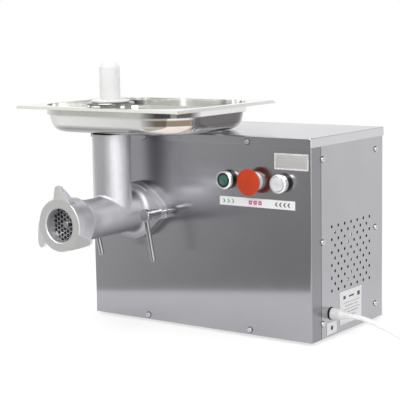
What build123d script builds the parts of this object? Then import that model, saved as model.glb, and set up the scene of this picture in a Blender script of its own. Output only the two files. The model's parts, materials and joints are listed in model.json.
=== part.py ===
"""Electric meat grinder: a stainless box with a geared motor, and a cast head with worm, knife and plate.

X runs to the right along the front, Y from the front to the back and Z up. The origin is on the surface that
the grinder stands on, under the middle of everything but the lead.
"""
import math
import os

from build123d import *

os.makedirs("parts", exist_ok=True)

# ---------------------------------------------------------------- driving dimensions, in millimetres
# Housing
housing_width = 424.0
housing_depth = 226.0
housing_height = 310.0  # bottom edge to lid top
sheet = 1.5
bend_radius = 3.0
front_return = 28.0  # how far the front panel wraps round each side
seam = 0.4
cover_flange = 12.0
lid_overhang = 2.0
lid_skirt = 14.0
lid_gap = 0.5
base_sheet = 2.0
foot_height = 5.0
foot_radius = 12.0
foot_inset = 45.0

# Ventilation holes in each side cover: two staggered grids
vent_radius = 2.5
vent_pitch = 20.0
vent_columns, vent_rows = 7, 6
vent_front = 60.0  # first column, from the front
vent_low = 70.0  # lowest row, above the bottom edge
louvres, louvre_pitch, louvre_length = 7, 13.0, 90.0  # slots in the back panel

# Housing screws
screw_radius = 2.0
screw_head_radius = 4.4
screw_head_height = 2.4
screw_length = 8.0
screw_clearance = 0.2
screw_columns = (32.0, 200.0)  # on the sides, from the front
screw_low, screw_high = 24.0, 34.0  # from the bottom edge, and from the lid top
front_screw_left, front_screw_right = 113.0, 111.5  # in from each side
front_screw_low, lid_screw_drop = 7.5, 9.0  # above the bottom edge, and below the lid top
panel_gap = 0.3  # round the back panel and the base plate
post_leg = 16.0
post_reach = 20.0  # from a screw column to the post's outer edge

# Head: distances run forward from the front panel
head_from_left = 98.0
head_from_bottom = 181.5
hub_radius = 46.0
hub_thickness = 7.0
spigot_radius = 32.0
spigot_clearance = 0.2
hub_lap = 6.0  # the hub's face outside its hole in the front panel
flange_radius = 45.8
flange_thickness = 13.0
barrel_bore = 25.5
barrel_wall = 5.9
barrel_radius = barrel_bore + barrel_wall
flange_sweep = 10.0  # how far the flange's hollow runs forward on to the barrel
flare_start, flare_end = 126.0, 158.5
plate_shoulder = 5.5  # step from the bore out to the plate's edge
plate_radius = barrel_bore + plate_shoulder
plate_clearance = 0.1
plate_thickness = 6.0
plate_seat = 171.0
plate_seat_depth = 3.0
thread_wall = 4.0
thread_radius = plate_radius + thread_wall
thread_clearance = 0.05
flare_step = 4.0  # from the thread out to the collar behind the ring nut
flare_radius = thread_radius + flare_step
tube_forward = 66.0  # feed tube's axis
tube_bore = 26.0
tube_wall = 4.4
tube_draft = 1.0  # how much narrower the tube is at its foot
tube_top_radius = tube_bore + tube_wall
tube_base_radius = tube_top_radius - tube_draft
tube_edge = 0.6
tube_above_lid = 1.0
tube_fillet = 5.0
lug_half_height = 10.0
lug_past_stud = 2.0
lug_gap = 1.0  # between each lug and the mount behind it

# Clamp studs and lever nuts
stud_offset = 54.5
stud_radius = 4.0
stud_length = 44.0
stud_root = 14.0  # how far the stud's root reaches back, into the gearbox
stud_clearance = 0.5
washer_thickness = 1.5
washer_rim = 5.0
washer_clearance = 0.3
lever_nut_wall = 4.0
lever_nut_length = 26.0
lever_collar_step = 1.0
lever_collar_length = 9.0
lever_bar_radius = 3.9
lever_bar_length = 72.5
lever_tilt_right = 10.4  # degrees from hanging, towards the right
lever_tilt_left = 13.4
running_gap = 0.05

# Worm, knife, plate and ring nut
worm_core_radius = 14.0
worm_clearance = 0.4
worm_pitch = 34.0
worm_flight = 6.0
worm_flight_tip = 1.6
journal_radius = 11.0
bush_wall = 3.0
bush_length = 10.0  # its front end, ahead of the panel
tang = 15.0  # square that enters the output shaft
tang_length = 14.0
square_clearance = 0.1
knife_square = 12.0
knife_clearance = 0.8
knife_hub_radius = 13.0
knife_thickness = 7.6
pin_radius = 5.4
pin_proud = 4.0  # how far the pin stands out of the plate
plate_hole_radius = 2.8
plate_hole_pitch = 7.0
plate_boss_radius = 6.4  # no holes inside it
plate_edge = 1.2  # solid band outside the outermost holes
key_width, key_depth = 4.0, 2.5
key_clearance = 0.1
nut_front = 195.0
nut_wall = 5.6
nut_lip = 4.9  # how far the nut's front laps the plate
nut_relief, nut_relief_depth = 0.6, 4.5  # a wider stretch of its mouth, next to the plate
ear_depth = 13.0  # along the nut, at each ear's root
ear_lean = 7.0  # how far each ear's tip lies behind the nut's front
ear_thickness = 4.5  # at the tip
ear_length = 19.4  # beyond the nut
ear_tip_radius = 3.0
face_gap = 0.1

# Gearbox and belt drive: distances run back from the front panel
gear_module = 2.0
gear_teeth, pinion_teeth = 64, 16
gear_backlash = 0.25
gear_width = 18.0
gear_from_cover = 22.0  # the gears' middle, ahead of the gearbox cover
gear_hub_wall, gear_hub_step = 7.0, 3.0
gear_hole_radius, gear_hole_circle = 11.0, 38.0
pinion_extra = 4.0  # how much wider the pinion is than the gear
case_room, case_pinion_room = 2.0, 10.0  # round the gear, and round the pinion
case_depth = 60.0
case_wall = 6.0
case_front_wall = 8.0
case_cover = 8.0
cover_bolt_radius = 4.5
bearing_wall = 5.0  # metal round each bearing
bearing_stop = 2.0  # how deep the output bearing sits in the front wall
race_share = 0.28  # of a bearing's section, for each race
shield_step = 0.6
output_shaft_radius = 15.0
shaft_setback = 3.0  # its front face, behind the panel's front
shaft_step = 5.0  # from the output shaft down to its tail
lay_shaft_radius = 7.5
output_bearing_radius, output_bearing_width = 31.0, 16.0
tail_bearing_radius, tail_bearing_width = 23.5, 12.0
lay_bearing_radius, lay_bearing_width = 17.5, 11.0
cover_socket = 4.0  # how deep the rear bearings sit in the cover
cover_ring = 8.0  # how far the cover's bearing rings stand into the case
pulley_back = 76.0
pulley_width = 20.0
pulley_rim = 3.0
shaft_overhang = 4.0  # of a shaft, past its pulley
pulley_dish = 7.0
pulley_hub_wall = 9.0
pulley_hole_radius, pulley_hole_circle = 15.0, 39.0
large_pulley_radius, motor_pulley_radius = 70.0, 25.0
belt_width, belt_thickness = 15.4, 3.5
belt_side_gap = 0.3
motor_right_of_lay, motor_below_lay = 147.0, 91.0
motor_radius = 62.0
motor_back = 102.0
motor_cap = 12.0
stator_length = 62.0
motor_shaft_radius = 7.0
rotor_radius = 34.0
rotor_gap = 0.5
rotor_overhang = 2.0
motor_slots, motor_slot = 28, 4.0
cap_step = 3.0
fan_radius, fan_depth, fan_disc, fan_hub_wall = 50.0, 10.0, 1.5, 8.0
fan_blades, fan_blade = 9, 1.6
fan_gap = 2.0
cap_slot_length, cap_slot = 18.0, 7.0
bracket_width, bracket_sheet, bracket_inset = 100.0, 3.0, 8.0

# Electrical parts, on the base plate
capacitor_radius, capacitor_height = 19.0, 76.0
capacitor_from_left, capacitor_from_front = 232.0, 34.0
contactor_from_right, contactor_from_front = 62.0, 42.0
terminals_from_right, terminals_from_front = 128.0, 38.0

# Push buttons, label strip and plates
button_from_right = (150.0, 100.0, 50.0)  # start, stop, reverse
button_below_top = 69.2
button_barrel = 11.0
button_hole_clearance = 0.15
barrel_depth = 18.0
collar_radius = 14.6
collar_height = 6.0
cap_radius = 11.0
cap_gap = 0.3
bezel_width = 2.9
bezel_chamfer = 2.0
stem_radius = 8.8
stem_clearance = 0.4
start_front, reverse_front, stop_front = 13.5, 16.0, 20.5
mushroom_radius, mushroom_depth = 20.5, 10.0
button_travel = 4.0
block_size, block_pin, block_pin_height = 30.0, 6.0, 18.0
strip_width, strip_height = 137.0, 13.6
strip_below_buttons = 33.3
strip_right_of_buttons = 3.4
badge_width, badge_height = 59.5, 25.0
badge_from_right, badge_below_top = 4.5, 36.5  # its right edge, and its middle
rating_width, rating_height = 69.8, 52.0
rating_from_front, rating_from_bottom = 118.4, 37.0
sticker_width, sticker_height = 30.0, 18.5
sticker_from_front, sticker_from_bottom = 59.0, 12.7
label_thickness, badge_thickness = 0.4, 0.8
label_corner = 0.6

# Tray, safety ring and pusher
tray_length, tray_width = 325.0, 265.0
tray_right_of_head = 19.4
tray_behind_tube = 66.0
tray_sheet = 1.2
tray_above_lid = 3.0
tray_depth = 42.0
tray_flange = 16.0
tray_lip = 4.5
tray_splay = 2.6  # how far the lip leans out on its way down
tray_corner = 70.0
tray_shoulder = 13.0
tray_ledge = 2.8
tray_draft = 8.0
tray_floor_fillet = 17.0
tray_point = 1.5  # chamfer of the flange's corners
neck_clearance = 0.3
neck_length = 22.0
neck_collar_step = 2.0
rest_radius = 8.0
rest_gap = 0.3
rest_from_back = 110.0
rests_right_of_head = (20.0, 96.0)
pusher_radius = 16.2
ring_clearance = 1.8
ring_radius = 38.0
ring_sheet = 2.0
ring_rim = 3.5
ring_skirt = 1.5
ring_top_above_rim = 5.0
leg_width = 16.0
leg_foot = 10.5
pusher_disc_radius = 30.0
pusher_disc = 3.6
pusher_top = 65.0  # above the safety ring
pusher_dome = 10.0
pusher_above_worm = 13.0

# Lead
cord_radius = 3.7
gland_from_front = 57.5
gland_from_bottom = 35.7
gland_hole = 8.2
gland_clearance = 0.3
gland_rim = 1.8
gland_depth = 8.0
boot_start = 1.8  # the gland's thickness outside the cover
boot_radius = 9.0
boot_length = 31.0
boot_end_wall = 1.0
coil_mean_radius = 40.7
coil_right, coil_back = 196.0, 60.5  # from the cover to its middle, and from the front to its first turn
coil_layers = 3
plug_radius = 18.0
plug_boot = 20.0
plug_length = 38.0
plug_pin_radius, pin_half_gap, pin_length = 2.4, 9.5, 19.0

# ---------------------------------------------------------------- places worked out from them
overall_left = head_from_left + tray_right_of_head - tray_length / 2
overall_right = housing_width + lid_overhang
left = -(overall_left + overall_right) / 2
right = left + housing_width
front = (nut_front - housing_depth - lid_overhang) / 2
back = front + housing_depth
middle = (left + right) / 2
bottom = foot_height
lid_top = bottom + housing_height
panel_top = lid_top - sheet
head_x = left + head_from_left
head_z = bottom + head_from_bottom
tube_y = front - tube_forward
tube_top = lid_top + tube_above_lid
tray_bottom = lid_top + tray_above_lid
tray_rim = tray_bottom + tray_depth
tray_x = head_x + tray_right_of_head
tray_y = tube_y + tray_behind_tube
ring_top = tray_rim + ring_top_above_rim
flange_front = hub_thickness + flange_thickness
button_z = lid_top - button_below_top
button_places = [right - d for d in button_from_right]
centre_distance = gear_module * (gear_teeth + pinion_teeth) / 2
lay_x = head_x + centre_distance
motor_x = lay_x + motor_right_of_lay
motor_z = head_z - motor_below_lay
case_back = sheet + case_depth
gear_middle = case_back - gear_from_cover
cord_hole_y = front + gland_from_front
cord_hole_z = bottom + gland_from_bottom
screw_heights = (bottom + screw_low, (bottom + screw_low + lid_top - screw_high) / 2, lid_top - screw_high)
worm_radius = barrel_bore - worm_clearance
knife_reach = barrel_bore - knife_clearance
bush_radius = journal_radius + bush_wall
nut_radius = thread_radius + nut_wall
nut_opening = plate_radius - nut_lip
ear_reach = nut_radius + ear_length
neck_radius = tube_bore - neck_clearance
ring_hole = pusher_radius + ring_clearance
lug_reach = stud_offset + lug_past_stud
lever_nut_radius = stud_radius + lever_nut_wall
lever_collar_radius = lever_nut_radius + lever_collar_step
washer_radius = stud_radius + washer_rim
tail_shaft_radius = output_shaft_radius - shaft_step
button_hole = button_barrel + button_hole_clearance
bezel_radius = cap_radius + cap_gap + bezel_width
gland_radius = gland_hole + gland_rim
stud_places = [head_x - stud_offset, head_x + stud_offset]


def save(name, builder):
    """Labels a finished piece and writes it."""
    builder.part.label = name
    export_step(builder.part, f"parts/{name}.step")


def facing(forward, x=head_x, z=head_z):
    """A plane that looks forward, that far in front of the front panel. Its X is right and its Y is up."""
    return Plane(origin=(x, front - forward, z), x_dir=(1, 0, 0), z_dir=(0, -1, 0))


def lengthways(x, z):
    """A plane through a front-to-back axis: X runs forward from the front panel and Y is the radius."""
    return Plane(origin=(x, front, z), x_dir=(0, -1, 0), z_dir=(-1, 0, 0))


def turn(points, x=head_x, z=head_z, mode=Mode.ADD):
    """Turns an outline of (forward, radius) about a front-to-back axis, into the part being built."""
    with BuildSketch(lengthways(x, z)) as outline:
        with BuildLine():
            Polyline(*points, close=True)
        make_face()
    revolve(outline.sketch, axis=Axis((x, front, z), (0, -1, 0)), mode=mode)


def ring(start, end, outer, inner=0.0, x=head_x, z=head_z, mode=Mode.ADD):
    """A plain ring, or a disc, from one distance forward to another, into the part being built."""
    turn([(start, inner), (start, outer), (end, outer), (end, inner)], x, z, mode)


throat_axis = Axis((head_x, tube_y, 0), (0, 0, 1))


def spin(points, mode=Mode.ADD):
    """Turns an outline, given as (radius, height), about the throat's upright axis."""
    with BuildSketch(Plane(origin=(head_x, tube_y, 0), x_dir=(1, 0, 0), z_dir=(0, -1, 0))) as outline:
        with BuildLine():
            Polyline(*points, close=True)
        make_face()
    revolve(outline.sketch, axis=throat_axis, mode=mode)


def polar(radius, degrees):
    """A point of a sketch from its radius and angle."""
    return (radius * math.cos(math.radians(degrees)), radius * math.sin(math.radians(degrees)))


def screw_points():
    """Head centre and outward direction of every housing screw."""
    points = []
    for from_front in screw_columns:
        for z in screw_heights:
            points.append(((right, front + from_front, z), (1, 0, 0)))
            points.append(((left, front + from_front, z), (-1, 0, 0)))
    for x in (left + front_screw_left, right - front_screw_right):
        points.append(((x, front, bottom + front_screw_low), (0, -1, 0)))
        points.append(((x, front - lid_overhang, lid_top - lid_screw_drop), (0, -1, 0)))
    for x in (left + cover_flange / 2, right - cover_flange / 2):
        for z in screw_heights:
            points.append(((x, back, z), (0, 1, 0)))
    return points


def screw_shafts(radius):
    """The space of every housing screw's shank, for cutting its holes."""
    shafts = []
    for point, outward in screw_points():
        seat = Plane(origin=point, z_dir=outward)
        shafts.append(seat.location * Cylinder(radius, 2 * screw_length + 2))
    return shafts


clearance_shafts = screw_shafts(screw_radius + screw_clearance)
tapped_shafts = screw_shafts(screw_radius)


# ---------------------------------------------------------------- housing
with BuildPart() as front_panel:
    with BuildSketch(Plane.XY.offset(bottom)) as wrap:
        with Locations((middle, front)):
            Rectangle(housing_width, front_return, align=(Align.CENTER, Align.MIN))
        fillet(wrap.vertices().group_by(Axis.Y)[0], bend_radius)
        with Locations((middle, front + sheet)):
            Rectangle(housing_width - 2 * sheet, front_return, align=(Align.CENTER, Align.MIN),
                      mode=Mode.SUBTRACT)
    extrude(amount=panel_top - bottom)
    with BuildSketch(facing(0)):
        Circle(hub_radius - hub_lap)
        with Locations((-stud_offset, 0), (stud_offset, 0)):
            Circle(stud_radius + stud_clearance)
    extrude(amount=2 * sheet, both=True, mode=Mode.SUBTRACT)
    with BuildSketch(facing(0, 0, button_z)):
        with Locations(*[(x, 0) for x in button_places]):
            Circle(button_hole)
    extrude(amount=2 * sheet, both=True, mode=Mode.SUBTRACT)
    add(clearance_shafts, mode=Mode.SUBTRACT)
save("front_panel", front_panel)


def side_cover(side):
    """A perforated side cover, side +1 for the right one, with a flange bent in along its back edge."""
    edge = middle + side * housing_width / 2
    with BuildPart() as cover:
        with BuildSketch(Plane.XY.offset(bottom)) as angle:
            with Locations((edge, back)):
                Rectangle(2 * cover_flange, housing_depth - front_return - seam,
                          align=(Align.CENTER, Align.MAX))
            with Locations((edge + side * cover_flange, back)):
                Rectangle(2 * cover_flange, 2 * housing_depth, mode=Mode.SUBTRACT)
            outer = angle.vertices().group_by(Axis.Y)[-1].sort_by(Axis.X)[-1 if side > 0 else 0]
            fillet(outer, bend_radius)
            with Locations((edge - side * (sheet + cover_flange), back - sheet)):
                Rectangle(2 * cover_flange, housing_depth, align=(Align.CENTER, Align.MAX),
                          mode=Mode.SUBTRACT)
        extrude(amount=panel_top - bottom)
        vents = Plane(origin=(edge, front + vent_front, bottom + vent_low), x_dir=(0, 1, 0), z_dir=(1, 0, 0))
        with BuildSketch(vents):
            with GridLocations(vent_pitch, vent_pitch, vent_columns, vent_rows,
                               align=(Align.MIN, Align.MIN)):
                Circle(vent_radius)
            with Locations((vent_pitch / 2, vent_pitch / 2)):
                with GridLocations(vent_pitch, vent_pitch, vent_columns - 1, vent_rows - 1,
                                   align=(Align.MIN, Align.MIN)):
                    Circle(vent_radius)
        extrude(amount=2 * sheet, both=True, mode=Mode.SUBTRACT)
        if side > 0:
            with BuildSketch(Plane(origin=(edge, cord_hole_y, cord_hole_z), z_dir=(1, 0, 0))):
                Circle(gland_hole)
            extrude(amount=2 * sheet, both=True, mode=Mode.SUBTRACT)
        add(clearance_shafts, mode=Mode.SUBTRACT)
    return cover


save("right_cover", side_cover(1))
save("left_cover", side_cover(-1))

with BuildPart() as back_panel:
    with Locations((middle, back - sheet, bottom)):
        Box(housing_width - 2 * sheet - 2 * panel_gap, sheet, panel_top - bottom,
            align=(Align.CENTER, Align.MAX, Align.MIN))
    with BuildSketch(Plane(origin=(motor_x, back, motor_z), x_dir=(-1, 0, 0), z_dir=(0, 1, 0))):
        with GridLocations(0, louvre_pitch, 1, louvres):
            SlotOverall(louvre_length, 2 * vent_radius)
    extrude(amount=-5 * sheet, mode=Mode.SUBTRACT)
    add(clearance_shafts, mode=Mode.SUBTRACT)
save("back_panel", back_panel)

with BuildPart() as lid:
    lid_length = housing_width + 2 * lid_overhang
    lid_width = housing_depth + 2 * lid_overhang
    with BuildSketch(Plane.XY.offset(lid_top - lid_skirt)):
        with Locations((middle, (front + back) / 2)):
            RectangleRounded(lid_length, lid_width, bend_radius + lid_overhang)
    extrude(amount=lid_skirt)
    fillet(lid.faces().sort_by(Axis.Z)[-1].edges(), lid_overhang)
    with BuildSketch(Plane.XY.offset(lid_top - lid_skirt)):
        with Locations((middle, (front + back) / 2)):
            RectangleRounded(housing_width + 2 * lid_gap, housing_depth + 2 * lid_gap, bend_radius + lid_gap)
    extrude(amount=lid_skirt - sheet, mode=Mode.SUBTRACT)
    add(clearance_shafts, mode=Mode.SUBTRACT)
save("lid", lid)

with BuildPart() as base_plate:
    with Locations((middle, front + sheet, bottom)):
        Box(housing_width - 2 * sheet - 2 * panel_gap, housing_depth - 3 * sheet - panel_gap, base_sheet,
            align=(Align.CENTER, Align.MIN, Align.MIN))
        Box(housing_width - 4 * post_leg, base_sheet, post_leg, align=(Align.CENTER, Align.MIN, Align.MIN))
    add(clearance_shafts, mode=Mode.SUBTRACT)
save("base_plate", base_plate)


def corner_post(side, y_start, y_end, y_leg):
    """One angle post: a leg along the side cover and a leg pointing inwards."""
    face = middle + side * (housing_width / 2 - sheet)
    height = panel_top - bottom - base_sheet
    low = bottom + base_sheet
    with Locations((face - side * base_sheet / 2, (y_start + y_end) / 2, low)):
        Box(base_sheet, y_end - y_start, height, align=(Align.CENTER, Align.CENTER, Align.MIN))
    with Locations((face - side * post_leg / 2, y_leg, low)):
        Box(post_leg, base_sheet, height, align=(Align.CENTER, Align.CENTER, Align.MIN))


front_column, back_column = front + screw_columns[0], front + screw_columns[1]
with BuildPart() as corner_posts:
    for side in (-1, 1):
        post_end = front_column + post_reach / 2
        corner_post(side, front_column - post_reach, post_end, post_end - base_sheet / 2)
        post_end = back - 2 * sheet
        corner_post(side, back_column - post_reach / 2, post_end, post_end - base_sheet / 2)
    add(tapped_shafts, mode=Mode.SUBTRACT)
save("corner_posts", corner_posts)

with BuildPart() as rubber_feet:
    for x in (left + foot_inset, right - foot_inset):
        for y in (front + foot_inset, back - foot_inset):
            with BuildSketch(Plane.XY.move(Location((x, y, 0)))):
                Circle(foot_radius)
            extrude(amount=foot_height, taper=-4)
save("rubber_feet", rubber_feet)

with BuildPart() as housing_screws:
    for point, outward in screw_points():
        seat = Plane(origin=point, z_dir=outward)
        with BuildSketch(seat):
            Circle(screw_head_radius)
        extrude(amount=screw_head_height, taper=20)
        with BuildSketch(seat):
            Circle(screw_radius)
        extrude(amount=-screw_length)
        with BuildSketch(seat.offset(screw_head_height)):
            Rectangle(4.0, 0.9)
            Rectangle(0.9, 4.0)
        extrude(amount=-1.0, mode=Mode.SUBTRACT)
save("housing_screws", housing_screws)

# ---------------------------------------------------------------- gearbox
pinion_spot = (centre_distance, 0)
gear_tip = gear_module * (gear_teeth + 2) / 2
pinion_tip = gear_module * (pinion_teeth + 2) / 2
case_gear_radius = gear_tip + case_room + case_wall
case_pinion_radius = pinion_tip + case_pinion_room + case_wall


def case_outline(shrink=0.0):
    """The gearbox's outline: two rounds, one about each shaft, and the straight sides between them."""
    Circle(case_gear_radius - shrink)
    with Locations(pinion_spot):
        Circle(case_pinion_radius - shrink)
    make_hull()


with BuildPart() as gearbox_case:
    with BuildSketch(facing(-sheet)):
        case_outline()
    extrude(amount=-case_depth)
    with BuildSketch(facing(-sheet - case_front_wall)):
        case_outline(case_wall)
    extrude(amount=-case_depth, mode=Mode.SUBTRACT)
    with BuildSketch(facing(-sheet - case_front_wall)):
        Circle(output_bearing_radius + bearing_wall)
        with Locations(pinion_spot):
            Circle(lay_bearing_radius + bearing_wall)
        with Locations((-stud_offset, 0), (stud_offset, 0)):
            Circle(stud_radius + bearing_wall)
    extrude(amount=-(output_bearing_width - bearing_stop))
    with BuildSketch(facing(0)):
        Circle((output_shaft_radius + output_bearing_radius) / 2)
    extrude(amount=-case_depth, mode=Mode.SUBTRACT)
    with BuildSketch(facing(-sheet - case_front_wall + bearing_stop)):
        Circle(output_bearing_radius)
    extrude(amount=-case_depth, mode=Mode.SUBTRACT)
    with BuildSketch(facing(-sheet - case_front_wall)):
        with Locations(pinion_spot):
            Circle(lay_bearing_radius)
    extrude(amount=-case_depth, mode=Mode.SUBTRACT)
    with BuildSketch(facing(0)):
        with Locations((-stud_offset, 0), (stud_offset, 0)):
            Circle(stud_radius)
    extrude(amount=-stud_root, mode=Mode.SUBTRACT)
save("gearbox_case", gearbox_case)

with BuildPart() as gearbox_cover:
    with BuildSketch(facing(-case_back)):
        case_outline()
    extrude(amount=-case_cover)
    with BuildSketch(facing(-case_back)):
        Circle(tail_bearing_radius + bearing_wall)
        with Locations(pinion_spot):
            Circle(lay_bearing_radius + bearing_wall)
    extrude(amount=cover_ring)
    with BuildSketch(facing(cover_ring + 1 - case_back)):
        Circle(tail_bearing_radius)
        with Locations(pinion_spot):
            Circle(lay_bearing_radius)
    extrude(amount=-(cover_ring + 1 + cover_socket), mode=Mode.SUBTRACT)
    with BuildSketch(facing(-case_back)):
        with Locations(pinion_spot):
            Circle((lay_shaft_radius + lay_bearing_radius) / 2)
    extrude(amount=-2 * case_cover, mode=Mode.SUBTRACT)
    with BuildSketch(facing(-case_back - case_cover)):
        with PolarLocations(case_gear_radius - case_wall - 1, 5, 60, 240):
            Circle(cover_bolt_radius)
    extrude(amount=-cover_bolt_radius)
save("gearbox_cover", gearbox_cover)


def bearing(start, outer, inner, width, x=head_x):
    """A ball bearing: two races and the shield between them, one closed ring with a step on each face."""
    inner += running_gap
    end = start - width
    race = (outer - inner) * race_share
    front_shield, back_shield = start - shield_step, end + shield_step
    low, high = inner + race, outer - race
    turn([(start, inner), (start, low), (front_shield, low), (front_shield, high), (start, high),
          (start, outer), (end, outer), (end, high), (back_shield, high), (back_shield, low), (end, low),
          (end, inner)], x)


front_bearing_face = -(sheet + case_front_wall - bearing_stop)
lay_bearing_face = -(sheet + case_front_wall)
tail_bearing_face = tail_bearing_width - cover_socket - case_back
with BuildPart() as ball_bearings:
    bearing(front_bearing_face, output_bearing_radius, output_shaft_radius, output_bearing_width)
    bearing(tail_bearing_face, tail_bearing_radius, tail_shaft_radius, tail_bearing_width)
    bearing(lay_bearing_face, lay_bearing_radius, lay_shaft_radius, lay_bearing_width, lay_x)
    bearing(lay_bearing_width - cover_socket - case_back, lay_bearing_radius, lay_shaft_radius,
            lay_bearing_width, lay_x)
save("ball_bearings", ball_bearings)


def gear_outline(teeth, phase):
    """Outline points of an involute spur gear, its first tooth centred at the phase in degrees."""
    pitch = gear_module * teeth / 2
    base = pitch * math.cos(math.radians(20))
    root, tip = pitch - 1.25 * gear_module, pitch + gear_module
    half_tooth = (math.pi * gear_module / 2 - gear_backlash / 2) / (2 * pitch)
    involute = math.tan(math.radians(20)) - math.radians(20)
    low = max(base, root)
    flank = [(root, half_tooth + involute)] if root < base else []
    for step in range(4):
        radius = low + (tip - low) * step / 3
        roll = math.acos(min(1.0, base / radius))
        flank.append((radius, half_tooth + involute - (math.tan(roll) - roll)))
    points = []
    for tooth in range(teeth):
        centre = math.radians(phase) + 2 * math.pi * tooth / teeth
        sides = [(r, centre - a) for r, a in flank] + [(r, centre + a) for r, a in reversed(flank)]
        points += [(r * math.cos(a), r * math.sin(a)) for r, a in sides]
    return points


gear_front = -gear_middle + gear_width / 2
with BuildPart() as output_gear:
    with BuildSketch(facing(gear_front)):
        with BuildLine():
            Polyline(*gear_outline(gear_teeth, 0), close=True)
        make_face()
        Circle(output_shaft_radius, mode=Mode.SUBTRACT)
        with PolarLocations(gear_hole_circle, 6):
            Circle(gear_hole_radius, mode=Mode.SUBTRACT)
    extrude(amount=-gear_width)
    ring(gear_front + gear_hub_step, gear_front - gear_width - gear_hub_step,
         output_shaft_radius + gear_hub_wall, output_shaft_radius)
save("output_gear", output_gear)

with BuildPart() as output_shaft:
    shaft_end = -(case_back + cover_socket - 1)
    turn([(-shaft_setback, 0), (-shaft_setback, output_shaft_radius - 1),
          (-shaft_setback - 1, output_shaft_radius), (tail_bearing_face, output_shaft_radius),
          (tail_bearing_face, tail_shaft_radius), (shaft_end, tail_shaft_radius), (shaft_end, 0)])
    with BuildSketch(facing(-shaft_setback)):
        Rectangle(tang, tang)
    extrude(amount=-tang_length, mode=Mode.SUBTRACT)
save("output_shaft", output_shaft)

with BuildPart() as lay_shaft:
    ring(lay_bearing_face, -(pulley_back + pulley_width + shaft_overhang), lay_shaft_radius, 0, lay_x)
    with BuildSketch(facing(gear_front + pinion_extra / 2, lay_x)):
        with BuildLine():
            Polyline(*gear_outline(pinion_teeth, 180 / pinion_teeth), close=True)
        make_face()
    extrude(amount=-gear_width - pinion_extra)
save("lay_shaft", lay_shaft)


def pulley(radius, bore, x, z):
    """A flat-bottomed belt pulley with a rim on each side and a hub."""
    start, end = -pulley_back, -(pulley_back + pulley_width)
    rim = (pulley_width - belt_width) / 2 - belt_side_gap
    outer = radius + pulley_rim
    turn([(start, bore), (start, outer), (start - rim, outer), (start - rim, radius), (end + rim, radius),
          (end + rim, outer), (end, outer), (end, bore)], x, z)


with BuildPart() as large_pulley:
    pulley(large_pulley_radius, lay_shaft_radius, lay_x, head_z)
    with BuildSketch(facing(-pulley_back, lay_x)):
        Circle(large_pulley_radius - pulley_dish)
        Circle(lay_shaft_radius + pulley_hub_wall, mode=Mode.SUBTRACT)
    extrude(amount=-pulley_dish, mode=Mode.SUBTRACT)
    with BuildSketch(facing(-pulley_back, lay_x)):
        with PolarLocations(pulley_hole_circle, 5):
            Circle(pulley_hole_radius)
    extrude(amount=-pulley_width, mode=Mode.SUBTRACT)
save("large_pulley", large_pulley)

with BuildPart() as motor_pulley:
    pulley(motor_pulley_radius, motor_shaft_radius, motor_x, motor_z)
save("motor_pulley", motor_pulley)


def belt_loop(thickness):
    """The loop round both pulleys, that much outside their bottoms."""
    Circle(large_pulley_radius + running_gap + thickness)
    with Locations((motor_x - lay_x, motor_z - head_z)):
        Circle(motor_pulley_radius + running_gap + thickness)
    make_hull()


with BuildPart() as drive_belt:
    belt_front = -(pulley_back + (pulley_width - belt_width) / 2)
    with BuildSketch(facing(belt_front, lay_x)):
        belt_loop(belt_thickness)
    extrude(amount=-belt_width)
    with BuildSketch(facing(belt_front, lay_x)):
        belt_loop(0)
    extrude(amount=-belt_width, mode=Mode.SUBTRACT)
save("drive_belt", drive_belt)

# ---------------------------------------------------------------- motor
stator_front = -(motor_back + motor_cap)
stator_back = stator_front - stator_length
with BuildPart() as motor_stator:
    ring(stator_front, stator_back, motor_radius, rotor_radius + rotor_gap, motor_x, motor_z)
    with BuildSketch(facing(stator_front, motor_x, motor_z)):
        with PolarLocations(motor_radius, motor_slots):
            Rectangle(motor_slot, motor_slot)
    extrude(amount=-stator_length, mode=Mode.SUBTRACT)
save("motor_stator", motor_stator)

with BuildPart() as motor_end_caps:
    bore = motor_shaft_radius + running_gap
    seat_radius = 3 * motor_shaft_radius
    for face, way in ((-motor_back, 1), (stator_back - motor_cap, -1)):
        inner = face - motor_cap * way
        outer_floor, inner_floor = face - cap_step * way, face - 2 * cap_step * way
        turn([(face, bore), (face, seat_radius), (outer_floor, seat_radius + cap_step),
              (outer_floor, motor_radius - 2 * cap_step), (inner_floor, motor_radius - cap_step),
              (inner, motor_radius - cap_step), (inner, motor_radius - 3 * cap_step),
              (inner_floor - 2 * way, motor_radius - 3 * cap_step - 2), (inner_floor - 2 * way, bore)],
             motor_x, motor_z)
    with BuildSketch(facing(-motor_back, motor_x, motor_z)):
        with PolarLocations((seat_radius + motor_radius) / 2 - 1, 8):
            SlotOverall(cap_slot_length, cap_slot)
    extrude(amount=-motor_cap * 3 - stator_length, mode=Mode.SUBTRACT)
save("motor_end_caps", motor_end_caps)

fan_front = stator_back - motor_cap - fan_gap
with BuildPart() as motor_shaft:
    ring(-(pulley_back - shaft_overhang / 2), fan_front - fan_depth, motor_shaft_radius, 0, motor_x, motor_z)
    ring(stator_front - rotor_overhang, stator_back + rotor_overhang, rotor_radius, 0, motor_x, motor_z)
save("motor_shaft", motor_shaft)

with BuildPart() as motor_fan:
    fan_hub = motor_shaft_radius + fan_hub_wall
    ring(fan_front, fan_front - fan_depth, fan_hub, motor_shaft_radius, motor_x, motor_z)
    ring(fan_front, fan_front - fan_disc, fan_radius, motor_shaft_radius, motor_x, motor_z)
    with BuildSketch(facing(fan_front, motor_x, motor_z)):
        with PolarLocations((fan_radius + fan_hub - 1) / 2, fan_blades):
            Rectangle(fan_radius - fan_hub + 1, fan_blade)
    extrude(amount=-fan_depth)
save("motor_fan", motor_fan)

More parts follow.
